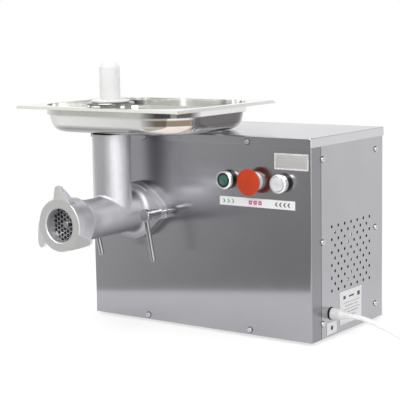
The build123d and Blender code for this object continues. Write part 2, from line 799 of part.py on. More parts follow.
with BuildPart() as motor_bracket:
    bracket_low = bottom + base_sheet
    with Locations((motor_x, front - stator_front + stator_length / 2, bracket_low)):
        Box(bracket_width + 10, stator_length, bracket_sheet, align=(Align.CENTER, Align.CENTER, Align.MIN))
    with Locations((motor_x, front - stator_front + bracket_inset, bracket_low),
                   (motor_x, front - stator_back - bracket_inset, bracket_low)):
        Box(bracket_width, 2 * bracket_sheet, motor_z - motor_radius / 2 - bracket_low,
            align=(Align.CENTER, Align.CENTER, Align.MIN))
    ring(-motor_back, -(motor_back + 2 * motor_cap + stator_length), motor_radius, 0, motor_x, motor_z,
         Mode.SUBTRACT)
save("motor_bracket", motor_bracket)

floor_low = bottom + base_sheet
with BuildPart() as run_capacitor:
    spot = (left + capacitor_from_left, front + capacitor_from_front, floor_low)
    with BuildSketch(Plane(origin=spot, z_dir=(0, 0, 1))):
        Circle(capacitor_radius)
    extrude(amount=capacitor_height)
    fillet(run_capacitor.faces().sort_by(Axis.Z)[-1].edges(), 3)
    with BuildSketch(Plane(origin=spot, z_dir=(0, 0, 1)).offset(capacitor_height)):
        with GridLocations(14, 0, 2, 1):
            Rectangle(1, 6)
    extrude(amount=9)
save("run_capacitor", run_capacitor)

upright = (Align.CENTER, Align.CENTER, Align.MIN)
with BuildPart() as contactor:
    spot = (right - contactor_from_right, front + contactor_from_front)
    with Locations((*spot, floor_low)):
        Box(46, 62, 50, align=upright)
        Box(46, 44, 72, align=upright)
    with Locations((*spot, floor_low + 50)):
        with GridLocations(11, 53, 4, 2):
            Cylinder(3.4, 8)
save("contactor", contactor)

with BuildPart() as terminal_block:
    with Locations((right - terminals_from_right, front + terminals_from_front, floor_low)):
        Box(58, 22, 16, align=upright)
        with GridLocations(11, 0, 5, 1):
            Box(8, 12, 24, align=upright)
save("terminal_block", terminal_block)

# ---------------------------------------------------------------- head
def lug_outlines():
    """Adds the two clamp lugs, each with straight sides that touch the round flange."""
    corner = math.atan2(lug_half_height, lug_reach)
    touch = corner + math.acos(flange_radius / math.hypot(lug_reach, lug_half_height))
    root_x, root_z = flange_radius * math.cos(touch), flange_radius * math.sin(touch)
    for side in (-1, 1):
        Polygon((side * root_x, root_z), (side * lug_reach, lug_half_height),
                (side * lug_reach, -lug_half_height), (side * root_x, -root_z), align=None)


with BuildPart() as head_mount:
    inner, seat = spigot_radius + spigot_clearance, hub_radius - hub_lap - spigot_clearance
    turn([(-sheet, inner), (-sheet, seat), (0, seat), (0, hub_radius), (hub_thickness - 1, hub_radius),
          (hub_thickness, hub_radius - 1), (hub_thickness, inner)])
    with BuildSketch(facing(0)):
        lug_outlines()
        Circle(seat, mode=Mode.SUBTRACT)
        with Locations((-stud_offset, 0), (stud_offset, 0)):
            Circle(stud_radius + running_gap, mode=Mode.SUBTRACT)
    extrude(amount=hub_thickness)
save("head_mount", head_mount)

barrel_end = plate_seat + plate_seat_depth
with BuildPart() as head_casting:
    with BuildSketch(lengthways(head_x, head_z)):
        with BuildLine():
            Polyline((-sheet, 0), (-sheet, spigot_radius), (hub_thickness, spigot_radius),
                     (hub_thickness, flange_radius), (flange_front - 1, flange_radius),
                     (flange_front, flange_radius - 1), (flange_front, flange_radius - 5))
            ThreePointArc((flange_front, flange_radius - 5), (flange_front + 3, barrel_radius + 3.4),
                          (flange_front + flange_sweep, barrel_radius))
            Line((flange_front + flange_sweep, barrel_radius), (flare_start, barrel_radius))
            ThreePointArc((flare_start, barrel_radius), (flare_start + 18, barrel_radius + 2.2),
                          (flare_end, flare_radius))
            Polyline((flare_end, flare_radius), (flare_end, thread_radius), (barrel_end - 1, thread_radius),
                     (barrel_end, thread_radius - 1), (barrel_end, 0), (-sheet, 0))
        make_face()
    revolve(axis=Axis((head_x, front, head_z), (0, -1, 0)))
    spin([(0, head_z), (tube_base_radius, head_z), (tube_top_radius, tube_top - tube_edge),
          (tube_top_radius - tube_edge, tube_top), (0, tube_top)])
    joint = [e for e in head_casting.edges().filter_by(GeomType.BSPLINE)
             if e.center().Z > head_z + barrel_radius / 2 and abs(e.center().Y - tube_y) < tube_base_radius]
    fillet(joint, tube_fillet)
    with BuildSketch(facing(hub_thickness + lug_gap)):
        lug_outlines()
        Circle(spigot_radius, mode=Mode.SUBTRACT)
    extrude(amount=flange_thickness - lug_gap)
    with BuildSketch(facing(hub_thickness)):
        for side in (-1, 1):
            with Locations((side * (stud_offset + 10), 0)):
                Rectangle(20, 2 * (stud_radius + stud_clearance))
            with Locations((side * stud_offset, 0)):
                Circle(stud_radius + stud_clearance)
    extrude(amount=2 * flange_thickness, mode=Mode.SUBTRACT)
    ring(-sheet, bush_length, bush_radius, mode=Mode.SUBTRACT)
    ring(bush_length, barrel_end + 1, barrel_bore, mode=Mode.SUBTRACT)
    ring(plate_seat, barrel_end + 1, plate_radius + plate_clearance, mode=Mode.SUBTRACT)
    with BuildSketch(Plane(origin=(head_x, tube_y, head_z), z_dir=(0, 0, 1))):
        Circle(tube_bore)
    extrude(amount=tube_top - head_z, mode=Mode.SUBTRACT)
save("head_casting", head_casting)

with BuildPart() as worm_bush:
    ring(-sheet, bush_length, bush_radius, journal_radius + running_gap)
save("worm_bush", worm_bush)

worm_start, worm_end = bush_length + 0.5, plate_seat - knife_thickness - 3 * face_gap
with BuildPart() as worm:
    with BuildSketch(facing(1 - shaft_setback - tang_length)):
        Rectangle(tang - square_clearance, tang - square_clearance)
    extrude(amount=tang_length)
    shoulder = 1 - shaft_setback
    turn([(shoulder, 0), (shoulder, journal_radius), (worm_start, journal_radius),
          (worm_start, worm_core_radius), (worm_end, worm_core_radius), (worm_end, 0)])
    start = (head_x, front - worm_start - worm_flight, head_z)
    with BuildLine() as screw_line:
        Helix(worm_pitch, worm_end - worm_start - 2 * worm_flight, worm_core_radius, start, (0, -1, 0))
    outwards = screw_line.line @ 0 - Vector(*start)
    with BuildSketch(Plane(origin=screw_line.line @ 0, x_dir=outwards, z_dir=screw_line.line % 0)):
        with BuildLine():
            height = worm_radius - worm_core_radius
            Polyline((-3, -worm_flight), (-3, worm_flight), (height, worm_flight_tip),
                     (height, -worm_flight_tip), close=True)
        make_face()
    sweep(path=screw_line.line, is_frenet=True)
    with BuildSketch(facing(worm_end)):
        Rectangle(knife_square, knife_square)
    extrude(amount=knife_thickness + 2 * face_gap)
    pin_start = worm_end + knife_thickness + 2 * face_gap
    pin_end = plate_seat + plate_thickness + pin_proud
    turn([(pin_start, 0), (pin_start, pin_radius), (pin_end - 0.8, pin_radius), (pin_end, pin_radius - 0.8),
          (pin_end, 0)])
save("worm", worm)

with BuildPart() as knife:
    with BuildSketch(facing(plate_seat - face_gap - knife_thickness)):
        Circle(knife_hub_radius)
        for quarter in range(4):
            root = knife_hub_radius - 4
            with BuildLine():
                Polyline(polar(root, 90 * quarter - 40), polar(knife_reach, 90 * quarter - 8),
                         polar(knife_reach, 90 * quarter + 12), polar(root, 90 * quarter + 50), close=True)
            make_face()
        Rectangle(knife_square + square_clearance, knife_square + square_clearance, mode=Mode.SUBTRACT)
    extrude(amount=knife_thickness)
save("knife", knife)


def plate_holes():
    """Centres of the plate's holes: staggered columns, with the pin between three of them."""
    points = []
    reach = math.ceil(1.2 * plate_radius / plate_hole_pitch)
    for column in range(-reach, reach + 1):
        for row in range(-2 * reach, 2 * reach + 1):
            x = plate_hole_pitch * (column * math.sqrt(3) / 2 - 1 / math.sqrt(3))
            y = plate_hole_pitch * (row + column / 2)
            if plate_boss_radius < math.hypot(x, y) < plate_radius - plate_hole_radius - plate_edge:
                points.append((x, y))
    return points


with BuildPart() as grinding_plate:
    with BuildSketch(facing(plate_seat)):
        Circle(plate_radius)
        with Locations((0, -plate_radius)):
            Rectangle(key_width + key_clearance, 2 * key_depth, mode=Mode.SUBTRACT)
        Circle(pin_radius + running_gap, mode=Mode.SUBTRACT)
        with Locations(*plate_holes()):
            Circle(plate_hole_radius, mode=Mode.SUBTRACT)
    extrude(amount=plate_thickness)
save("grinding_plate", grinding_plate)

with BuildPart() as plate_key:
    with BuildSketch(facing(plate_seat)):
        with Locations((0, -plate_radius)):
            Rectangle(key_width, 2 * (key_depth - key_clearance))
        Circle(plate_radius + plate_clearance, mode=Mode.INTERSECT)
    extrude(amount=plate_seat_depth - key_clearance)
save("plate_key", plate_key)

nut_back = flare_end + 0.5
lip = plate_seat + plate_thickness + face_gap
with BuildPart() as nut_ears:
    for third in range(3):
        with BuildSketch(facing(nut_front - ear_depth)) as ear:
            turned = 120 * third
            with BuildLine():
                Polyline(polar(nut_radius - 4.6, turned + 108), polar(nut_radius - 0.6, turned + 104.5),
                         polar(ear_reach - 2, turned + 102), polar(ear_reach, turned + 97.5),
                         polar(ear_reach - 1.5, turned + 92.5),
                         polar(nut_radius + ear_length * 0.42, turned + 78.5),
                         polar(nut_radius + ear_length * 0.08, turned + 60),
                         polar(nut_radius - 2.6, turned + 44), polar(nut_radius - 8.6, turned + 75),
                         close=True)
            make_face()
            tip = [v for v in ear.vertices() if Vector(v.X, v.Y, v.Z).length > ear_reach - 2.5]
            fillet([v for v in tip if Vector(v.X, v.Y, v.Z).length < ear_reach - 0.5], ear_tip_radius)
        extrude(amount=ear_depth)
    tip_front = nut_front - ear_lean
    turn([(nut_front, 0), (nut_front, nut_radius - 1), (tip_front, ear_reach),
          (tip_front - ear_thickness, ear_reach), (nut_front - ear_depth, nut_radius + 1),
          (nut_front - ear_depth, 0)], mode=Mode.INTERSECT)

with BuildPart() as ring_nut:
    thread = thread_radius + thread_clearance
    mouth_start = lip + nut_relief_depth
    turn([(nut_back, thread), (nut_back, flare_radius), (nut_front - ear_depth, nut_radius),
          (nut_front - 1, nut_radius), (nut_front, nut_radius - 1), (nut_front, nut_opening + 1.5),
          (nut_front - 1.5, nut_opening), (mouth_start, nut_opening),
          (mouth_start, nut_opening + nut_relief), (lip, nut_opening + nut_relief), (lip, thread)])
    add(nut_ears.part)
save("ring_nut", ring_nut)

# ---------------------------------------------------------------- clamp
with BuildPart() as clamp_studs:
    for x in stud_places:
        turn([(-stud_root, 0), (-stud_root, stud_radius), (stud_length - 1, stud_radius),
              (stud_length, stud_radius - 1), (stud_length, 0)], x)
save("clamp_studs", clamp_studs)

nut_seat = flange_front + washer_thickness
with BuildPart() as clamp_washers:
    for x in stud_places:
        ring(nut_seat - washer_thickness, nut_seat, washer_radius, stud_radius + washer_clearance, x)
save("clamp_washers", clamp_washers)


def lever(x, tilt):
    """A lever nut: a long nut on its stud, with a bar through the collar at its front end."""
    start = nut_seat + running_gap
    collar = start + lever_nut_length
    end = collar + lever_collar_length
    with BuildPart() as piece:
        turn([(start, 0), (start, lever_nut_radius), (collar, lever_nut_radius),
              (collar + 0.5, lever_collar_radius), (end - 1, lever_collar_radius),
              (end, lever_collar_radius - 1), (end, 0)], x)
        ring(start, stud_length + 1, stud_radius + running_gap, 0, x, mode=Mode.SUBTRACT)
        way = (math.sin(math.radians(tilt)), 0, -math.cos(math.radians(tilt)))
        middle_of_collar = (x, front - collar - lever_collar_length / 2, head_z)
        stub = lever_collar_radius + 1.5
        with BuildSketch(Plane(origin=middle_of_collar, z_dir=way).offset(-stub)):
            Circle(lever_bar_radius)
        extrude(amount=stub + lever_bar_length)
        chamfer(piece.edges().filter_by(GeomType.CIRCLE).sort_by(Axis.Z)[0], 1.0)
    return piece


save("lever_left", lever(stud_places[0], lever_tilt_left))
save("lever_right", lever(stud_places[1], lever_tilt_right))

# ---------------------------------------------------------------- push buttons
stop_bezel_front = stop_front - mushroom_depth
button_fronts = (start_front, stop_bezel_front, reverse_front)
button_bore = cap_radius + cap_gap
stem_bore = stem_radius + stem_clearance
with BuildPart() as button_collars:
    for x in button_places:
        turn([(-barrel_depth, stem_bore), (-barrel_depth, button_barrel), (0, button_barrel),
              (0, collar_radius), (collar_height, collar_radius), (collar_height, stem_bore)], x, button_z)
save("button_collars", button_collars)

with BuildPart() as button_bezels:
    for x, end in zip(button_places, button_fronts):
        turn([(collar_height, button_bore), (collar_height, bezel_radius),
              (end - bezel_chamfer, bezel_radius), (end, bezel_radius - bezel_chamfer),
              (end, bezel_radius - bezel_chamfer - 0.4), (end - 1, button_bore)], x, button_z)
save("button_bezels", button_bezels)

stem_end = -(barrel_depth - button_travel - 2)
cap_back = collar_height + button_travel + cap_gap
with BuildPart() as start_button:
    edge = start_front - 1.5
    turn([(stem_end, 0), (stem_end, stem_radius), (cap_back, stem_radius), (cap_back, cap_radius),
          (edge, cap_radius), (edge, cap_radius - 2.6), (edge - 0.7, cap_radius - 3.2), (edge - 0.3, 0)],
         button_places[0], button_z)
save("start_button", start_button)

with BuildPart() as stop_button:
    under = stop_bezel_front + button_travel + cap_gap
    turn([(stem_end, 0), (stem_end, stem_radius), (under, stem_radius), (under, stem_radius + 4),
          (under + 1.8, mushroom_radius - 0.6), (under + 2.6, mushroom_radius),
          (stop_front - 2.2, mushroom_radius), (stop_front - 0.8, mushroom_radius - 1.2),
          (stop_front - 0.2, mushroom_radius - 5), (stop_front, 4), (stop_front, 0)],
         button_places[1], button_z)
save("stop_button", stop_button)

with BuildPart() as reverse_button:
    dome = reverse_front + 0.9
    turn([(stem_end, 0), (stem_end, stem_radius), (cap_back, stem_radius), (cap_back, cap_radius),
          (reverse_front - 0.5, cap_radius), (reverse_front + 0.6, cap_radius - 1), (dome, cap_radius - 4),
          (dome, 0)], button_places[2], button_z)
save("reverse_button", reverse_button)

with BuildPart() as button_blocks:
    for x in button_places:
        with Locations((x, front + barrel_depth + cap_gap, button_z)):
            Box(block_size, block_size, block_size, align=(Align.CENTER, Align.MIN, Align.CENTER))
        with Locations((x, front + barrel_depth + cap_gap + block_size, button_z)):
            with GridLocations(3 * block_pin, 0, 2, 1):
                Box(block_pin, block_pin, block_pin_height, align=(Align.CENTER, Align.MIN, Align.CENTER))
save("button_blocks", button_blocks)


def label(plane, length, height, thickness):
    """A thin plate or label that stands on a panel."""
    with BuildPart() as piece:
        with BuildSketch(plane):
            RectangleRounded(length, height, label_corner)
        extrude(amount=thickness)
    return piece


strip_x = (button_places[0] + button_places[2]) / 2 + strip_right_of_buttons
strip_plane = facing(0, strip_x, button_z - strip_below_buttons)
badge_plane = facing(0, right - badge_from_right - badge_width / 2, lid_top - badge_below_top)
save("label_strip", label(strip_plane, strip_width, strip_height, label_thickness))
save("badge_plate", label(badge_plane, badge_width, badge_height, badge_thickness))

with BuildPart() as side_labels:
    for from_front, from_bottom, width, height in (
            (rating_from_front, rating_from_bottom, rating_width, rating_height),
            (sticker_from_front, sticker_from_bottom, sticker_width, sticker_height)):
        centre = (right, front + from_front, bottom + from_bottom)
        with BuildSketch(Plane(origin=centre, x_dir=(0, 1, 0), z_dir=(1, 0, 0))):
            RectangleRounded(width, height, label_corner)
        extrude(amount=label_thickness)
save("side_labels", side_labels)

# ---------------------------------------------------------------- tray, safety ring and pusher
opening_length = tray_length - 2 * tray_flange
opening_width = tray_width - 2 * tray_flange
shoulder_z = tray_rim - tray_shoulder


def tray_section(z, shrink):
    """The tray's rounded outline at a height, that much smaller than the opening on every side."""
    with BuildSketch(Plane(origin=(tray_x, tray_y, z), z_dir=(0, 0, 1))) as section:
        RectangleRounded(opening_length - 2 * shrink, opening_width - 2 * shrink,
                         tray_corner - min(shrink, tray_draft) / 2)
    return section.sketch


def tray_body(wall):
    """The tray's bowl, that much inside its outer skin, from the rim to the floor."""
    mouth = tray_section(tray_rim, wall - tray_sheet)
    extrude(mouth, amount=wall - tray_sheet - tray_shoulder)
    loft([tray_section(shoulder_z, wall - tray_sheet + tray_ledge),
          tray_section(tray_bottom + wall, wall + tray_draft)])


def flange_outline(z, inset):
    """The flange's outline at a height, with its corners cut off, that much inside its lowest edge."""
    with BuildSketch(Plane(origin=(tray_x, tray_y, z), z_dir=(0, 0, 1))) as outline:
        Rectangle(tray_length - 2 * inset, tray_width - 2 * inset)
        chamfer(outline.vertices(), tray_point)
    return outline.sketch


with BuildPart() as flange_space:
    loft([flange_outline(tray_rim - tray_sheet, tray_splay + tray_sheet),
          flange_outline(tray_rim - tray_lip - tray_sheet, tray_sheet)], ruled=True)
    with BuildSketch(Plane(origin=(tray_x, tray_y, tray_rim), z_dir=(0, 0, 1))):
        RectangleRounded(opening_length + 2 * tray_sheet, opening_width + 2 * tray_sheet,
                         tray_corner + tray_sheet)
    extrude(amount=-tray_depth, mode=Mode.SUBTRACT)

with BuildPart() as tray_space:
    tray_body(tray_sheet)
    fillet(tray_space.faces().sort_by(Axis.Z)[0].edges(), tray_floor_fillet)

with BuildPart() as tray:
    tray_body(0)
    fillet(tray.faces().sort_by(Axis.Z)[0].edges(), tray_floor_fillet + tray_sheet)
    loft([flange_outline(tray_rim, tray_splay), flange_outline(tray_rim - tray_lip, 0)], ruled=True)
    add(flange_space.part, mode=Mode.SUBTRACT)
    add(tray_space.part, mode=Mode.SUBTRACT)
    with BuildSketch(Plane(origin=(head_x, tube_y, tray_bottom), z_dir=(0, 0, 1))):
        Circle(neck_radius - tray_sheet)
    extrude(amount=tray_shoulder, both=True, mode=Mode.SUBTRACT)
save("tray", tray)

with BuildPart() as tray_neck:
    low = tube_top - neck_length
    seat = tube_top + running_gap
    collar = tube_top_radius - neck_collar_step
    spin([(neck_radius - tray_sheet, low), (neck_radius, low), (neck_radius, seat), (collar, seat),
          (collar, tray_bottom), (neck_radius - tray_sheet, tray_bottom)])
save("tray_neck", tray_neck)

with BuildPart() as tray_rests:
    for from_head in rests_right_of_head:
        rest_place = (head_x + from_head, back - rest_from_back, lid_top)
        with BuildSketch(Plane(origin=rest_place, z_dir=(0, 0, 1))):
            Circle(rest_radius)
        extrude(amount=tray_above_lid - rest_gap, taper=5)
save("tray_rests", tray_rests)

tray_floor = tray_bottom + tray_sheet
with BuildPart() as safety_ring:
    skirt = ring_radius - ring_skirt
    ring_low, skirt_low = ring_top - ring_sheet, ring_top - ring_rim
    spin([(ring_hole, ring_low), (ring_hole, ring_top), (skirt, ring_top),
          (ring_radius, ring_top - ring_skirt), (ring_radius, skirt_low), (skirt, skirt_low),
          (skirt, ring_low)])
    for way in (-1, 1):
        leg_side = (head_x, tube_y - leg_width / 2, 0)
        with BuildSketch(Plane(origin=leg_side, x_dir=(1, 0, 0), z_dir=(0, -1, 0))):
            inner, toe = way * (skirt - ring_sheet), way * (skirt + leg_foot)
            toe_top = tray_floor + ring_sheet
            with BuildLine():
                Polyline((inner, ring_low), (way * skirt, ring_low), (way * skirt, toe_top), (toe, toe_top),
                         (toe, tray_floor), (inner, tray_floor), close=True)
            make_face()
        extrude(amount=-leg_width)
save("safety_ring", safety_ring)

with BuildPart() as pusher:
    disc_low = ring_top + cap_gap
    disc_top = disc_low + pusher_disc
    stem_low = head_z + barrel_bore + pusher_above_worm
    top = ring_top + pusher_top
    spin([(0, stem_low), (pusher_radius - 1, stem_low), (pusher_radius, stem_low + 1),
          (pusher_radius, disc_low), (pusher_disc_radius - 0.8, disc_low),
          (pusher_disc_radius, disc_low + 0.8), (pusher_disc_radius, disc_top - 1),
          (pusher_disc_radius - 1, disc_top), (pusher_radius, disc_top),
          (pusher_radius - 0.3, top - pusher_dome), (pusher_radius - 3.2, top - 0.45 * pusher_dome),
          (pusher_radius - 9, top - 0.08 * pusher_dome), (0, top)])
save("pusher", pusher)

# ---------------------------------------------------------------- lead
def turn_lead(points):
    """Turns an outline of (right of the cover, radius) about the axis on which the lead comes out."""
    side_on = Plane(origin=(right, cord_hole_y, cord_hole_z), x_dir=(1, 0, 0), z_dir=(0, -1, 0))
    with BuildSketch(side_on) as outline:
        with BuildLine():
            Polyline(*points, close=True)
        make_face()
    revolve(outline.sketch, axis=Axis((right, cord_hole_y, cord_hole_z), (1, 0, 0)))


boot_end = boot_start + boot_length
with BuildPart() as cord_gland:
    gland_barrel = gland_hole - gland_clearance
    turn_lead([(-gland_depth, 0), (-gland_depth, gland_barrel), (0, gland_barrel), (0, gland_radius),
               (boot_start - 0.8, gland_radius), (boot_start, gland_radius - 0.8), (boot_start, 0)])
save("cord_gland", cord_gland)

with BuildPart() as cord_boot:
    turn_lead([(boot_start, 0), (boot_start, boot_radius), (boot_start + 15, boot_radius - 0.3),
               (boot_start + 22, boot_radius - 2.6), (boot_end, cord_radius + boot_end_wall), (boot_end, 0)])
save("cord_boot", cord_boot)

coil_inner = coil_mean_radius - 2 * cord_radius
coil_outer = coil_mean_radius + 2 * cord_radius
last_turn = coil_mean_radius + cord_radius
coil_x = right + coil_right
coil_y = front + coil_back + last_turn
coil_height = 2 * cord_radius * coil_layers
coil_top = coil_height - cord_radius

# The lead's route: (right of the cover, back from the front panel, height) from the boot to the coil
lead_route = [(right + x, front + y, z) for x, y, z in (
    (boot_end, gland_from_front, cord_hole_z), (50, gland_from_front, cord_hole_z), (78, 57.2, 33.6),
    (109, 57.0, 22.6), (139, 57.3, 11.2), (167, 58.4, 3.8), (coil_right - 2, coil_back - 0.1, 3.75))]
# and from the coil's last turn to the plug: (from the coil's last turn, back from its middle, height)
tail_route = [(coil_x + last_turn + x, coil_y + y, z) for x, y, z in (
    (0, 3, coil_top), (0.2, 17, 17.8), (0.8, 31, 16.6), (1.0, 45, plug_radius), (1.0, 58, plug_radius))]


def cord_path(points):
    """Straight runs joined by arcs, each as large as its two runs allow."""
    radii = []
    for before, corner, after in zip(points, points[1:], points[2:]):
        come, leave = Vector(*corner) - Vector(*before), Vector(*after) - Vector(*corner)
        half_turn = math.radians(come.get_angle(leave) / 2)
        radii.append(0.45 * min(come.length, leave.length) / math.tan(half_turn))
    print("bend radii", [round(r) for r in radii])
    return FilletPolyline(*points, radius=radii)


def cord_tube(points):
    """Sweeps the lead's round section along a route, into the part being built."""
    with BuildLine() as path:
        cord_path(points)
    with BuildSketch(Plane(origin=path.line @ 0, z_dir=path.line % 0)) as section:
        Circle(cord_radius)
    sweep(section.sketch, path=path.line)
    length = sum(edge.length for edge in path.line.edges())
    print("length", round(length, 1), "section times length", round(math.pi * cord_radius ** 2 * length))


with BuildPart() as power_cord:
    cord_tube(lead_route)
    cord_tube(tail_route)
save("power_cord", power_cord)

with BuildPart() as cord_coil:
    with BuildSketch(Plane.XY.move(Location((coil_x, coil_y, 0)))):
        Circle(coil_outer)
        Circle(coil_inner, mode=Mode.SUBTRACT)
    extrude(amount=coil_height)
save("cord_coil", cord_coil)

plug_x, plug_y = tail_route[-1][0], tail_route[-1][1]
plug_end = plug_boot + plug_length
with BuildPart() as plug_body:
    with BuildSketch(Plane(origin=(plug_x, plug_y, plug_radius), x_dir=(0, 1, 0), z_dir=(1, 0, 0))):
        with BuildLine():
            Polyline((0, 0), (0, cord_radius + boot_end_wall), (plug_boot - 2, cord_radius + 2.5),
                     (plug_boot, plug_radius / 2), (plug_boot + 8, plug_radius - 3),
                     (plug_boot + 14, plug_radius), (plug_end - 1, plug_radius), (plug_end, plug_radius - 1),
                     (plug_end, 0), close=True)
        make_face()
    revolve(axis=Axis((plug_x, plug_y, plug_radius), (0, 1, 0)))
save("plug_body", plug_body)

with BuildPart() as plug_pins:
    plug_face = (plug_x, plug_y + plug_end, plug_radius)
    with BuildSketch(Plane(origin=plug_face, x_dir=(1, 0, 0), z_dir=(0, 1, 0))):
        with GridLocations(2 * pin_half_gap, 0, 2, 1):
            Circle(plug_pin_radius)
    extrude(amount=pin_length)
    fillet(plug_pins.faces().sort_by(Axis.Y)[-2:].edges(), 0.8 * plug_pin_radius)
save("plug_pins", plug_pins)
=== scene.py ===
import json
import math

import bmesh
import bpy
from mathutils import Matrix, Vector


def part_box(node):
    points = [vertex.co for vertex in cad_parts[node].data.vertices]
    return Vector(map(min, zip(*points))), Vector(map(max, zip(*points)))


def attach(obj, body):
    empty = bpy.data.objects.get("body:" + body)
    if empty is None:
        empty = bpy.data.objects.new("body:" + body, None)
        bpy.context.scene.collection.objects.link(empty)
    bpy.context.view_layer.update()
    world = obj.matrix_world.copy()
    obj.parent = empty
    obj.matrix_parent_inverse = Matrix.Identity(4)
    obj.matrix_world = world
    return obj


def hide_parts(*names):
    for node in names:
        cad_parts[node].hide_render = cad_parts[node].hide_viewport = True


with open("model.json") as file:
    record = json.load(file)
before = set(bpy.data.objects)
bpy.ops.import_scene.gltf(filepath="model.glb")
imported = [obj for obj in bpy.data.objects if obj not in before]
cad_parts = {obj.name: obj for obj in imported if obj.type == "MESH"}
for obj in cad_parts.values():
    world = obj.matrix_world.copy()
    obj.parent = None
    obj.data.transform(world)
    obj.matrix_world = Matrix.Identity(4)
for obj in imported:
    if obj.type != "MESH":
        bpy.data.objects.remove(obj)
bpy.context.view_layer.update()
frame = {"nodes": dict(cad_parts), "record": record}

nodes = frame["nodes"]
scene = bpy.context.scene
scene.view_settings.view_transform = "Standard"

MM = 0.001
LEFTWARD, RIGHTWARD = (-1.0, 0.0, 0.0), (1.0, 0.0, 0.0)
FORWARD, BACKWARD = (0.0, -1.0, 0.0), (0.0, 1.0, 0.0)
DOWNWARD, UPWARD = (0.0, 0.0, -1.0), (0.0, 0.0, 1.0)

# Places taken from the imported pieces
HOUSING_LOW, HOUSING_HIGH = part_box("front_panel")
FRONT = HOUSING_LOW.y
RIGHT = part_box("right_cover")[1].x
COIL_LOW, COIL_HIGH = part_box("cord_coil")


def middle_of(node):
    """Middle of a CAD node's box."""
    low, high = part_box(node)
    return (low + high) / 2


# ------------------------------------------------------------------ camera
def set_camera():
    """The grinder seen from its front right corner, from a little above the lid's edge."""
    turn, rise, roll = math.radians(35.786), math.radians(8.062), math.radians(-1.0)
    back = Vector((math.sin(turn) * math.cos(rise), -math.cos(turn) * math.cos(rise), math.sin(rise)))
    across = Vector((math.cos(turn), math.sin(turn), 0.0))
    up = back.cross(across)
    x_axis = across * math.cos(roll) + up * math.sin(roll)
    y_axis = up * math.cos(roll) - across * math.sin(roll)
    camera = bpy.data.objects.new("camera", bpy.data.cameras.new("camera"))
    camera.data.lens = 115.58
    camera.data.sensor_width = 36.0
    stand = Matrix.Translation((1.20032, -1.63980, 0.49322))
    camera.matrix_world = stand @ Matrix((x_axis, y_axis, back)).transposed().to_4x4()
    scene.collection.objects.link(camera)
    scene.camera = camera


set_camera()

# ------------------------------------------------------------------ mesh helpers
def add_piece(name, mesh, body, material=None):
    """A new piece that rides on a body, in one material."""
    piece = bpy.data.objects.new(name, mesh)
    scene.collection.objects.link(piece)
    if material is not None:
        piece.data.materials.append(material)
    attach(piece, body)
    return piece


def mesh_from(name, build, smooth_angle=35.0):
    """A mesh filled in by a function, with edges sharper than the angle kept crisp."""
    work = bmesh.new()
    build(work)
    bmesh.ops.recalc_face_normals(work, faces=work.faces)
    limit = math.radians(smooth_angle)
    for face in work.faces:
        face.smooth = True
    for edge in work.edges:
        edge.smooth = edge.calc_face_angle(0.0) < limit
    mesh = bpy.data.meshes.new(name)
    work.to_mesh(mesh)
    work.free()
    return mesh


def bridge(work, first, second):
    """Faces between two closed rows of corners."""
    for k in range(len(first)):
        n = (k + 1) % len(first)
        work.faces.new([first[k], first[n], second[n], second[k]])


def lathe(work, outline, origin, axis, side, segments):
    """Turns an outline of (along, radius) about an axis through the origin."""
    other = axis.cross(side)
    rings = []
    for along, radius in outline:
        centre = origin + axis * along
        rings.append([work.verts.new(centre + (side * math.cos(2 * math.pi * k / segments)
                                               + other * math.sin(2 * math.pi * k / segments)) * radius)
                      for k in range(segments)])
    for first, second in zip(rings, rings[1:]):
        bridge(work, first, second)


def rounded(points, radii, steps=5):
    """An outline with its corners rounded, each by its own radius."""
    result = []
    count = len(points)
    for index, (point, radius) in enumerate(zip(points, radii)):
        here = Vector(point)
        if index in (0, count - 1) or radius <= 0:
            result.append(tuple(here))
            continue
        before, after = Vector(points[index - 1]), Vector(points[index + 1])
        come, leave = (before - here).normalized(), (after - here).normalized()
        angle = come.angle(leave)
        room = 0.49 * min((before - here).length, (after - here).length)
        reach = min(radius / math.tan(angle / 2), room)
        start, end = here + come * reach, here + leave * reach
        for step in range(steps + 1):
            t = step / steps
            result.append(tuple(start * (1 - t) ** 2 + here * 2 * t * (1 - t) + end * t ** 2))
    return result


# ------------------------------------------------------------------ lead
LEAD_RADIUS = 3.7 * MM
COIL_X, COIL_Y = (COIL_LOW.x + COIL_HIGH.x) / 2, (COIL_LOW.y + COIL_HIGH.y) / 2
MEAN_TURN = (COIL_HIGH.x - COIL_LOW.x) / 2 - 2 * LEAD_RADIUS
COIL_TURNS, POINTS_PER_TURN = 5.25, 18
STEP_OVER = 0.72  # share of a turn after which the lead starts to move over to the next one
GUIDE_REACH = 1.010  # the guide points stand a little outside the smooth line


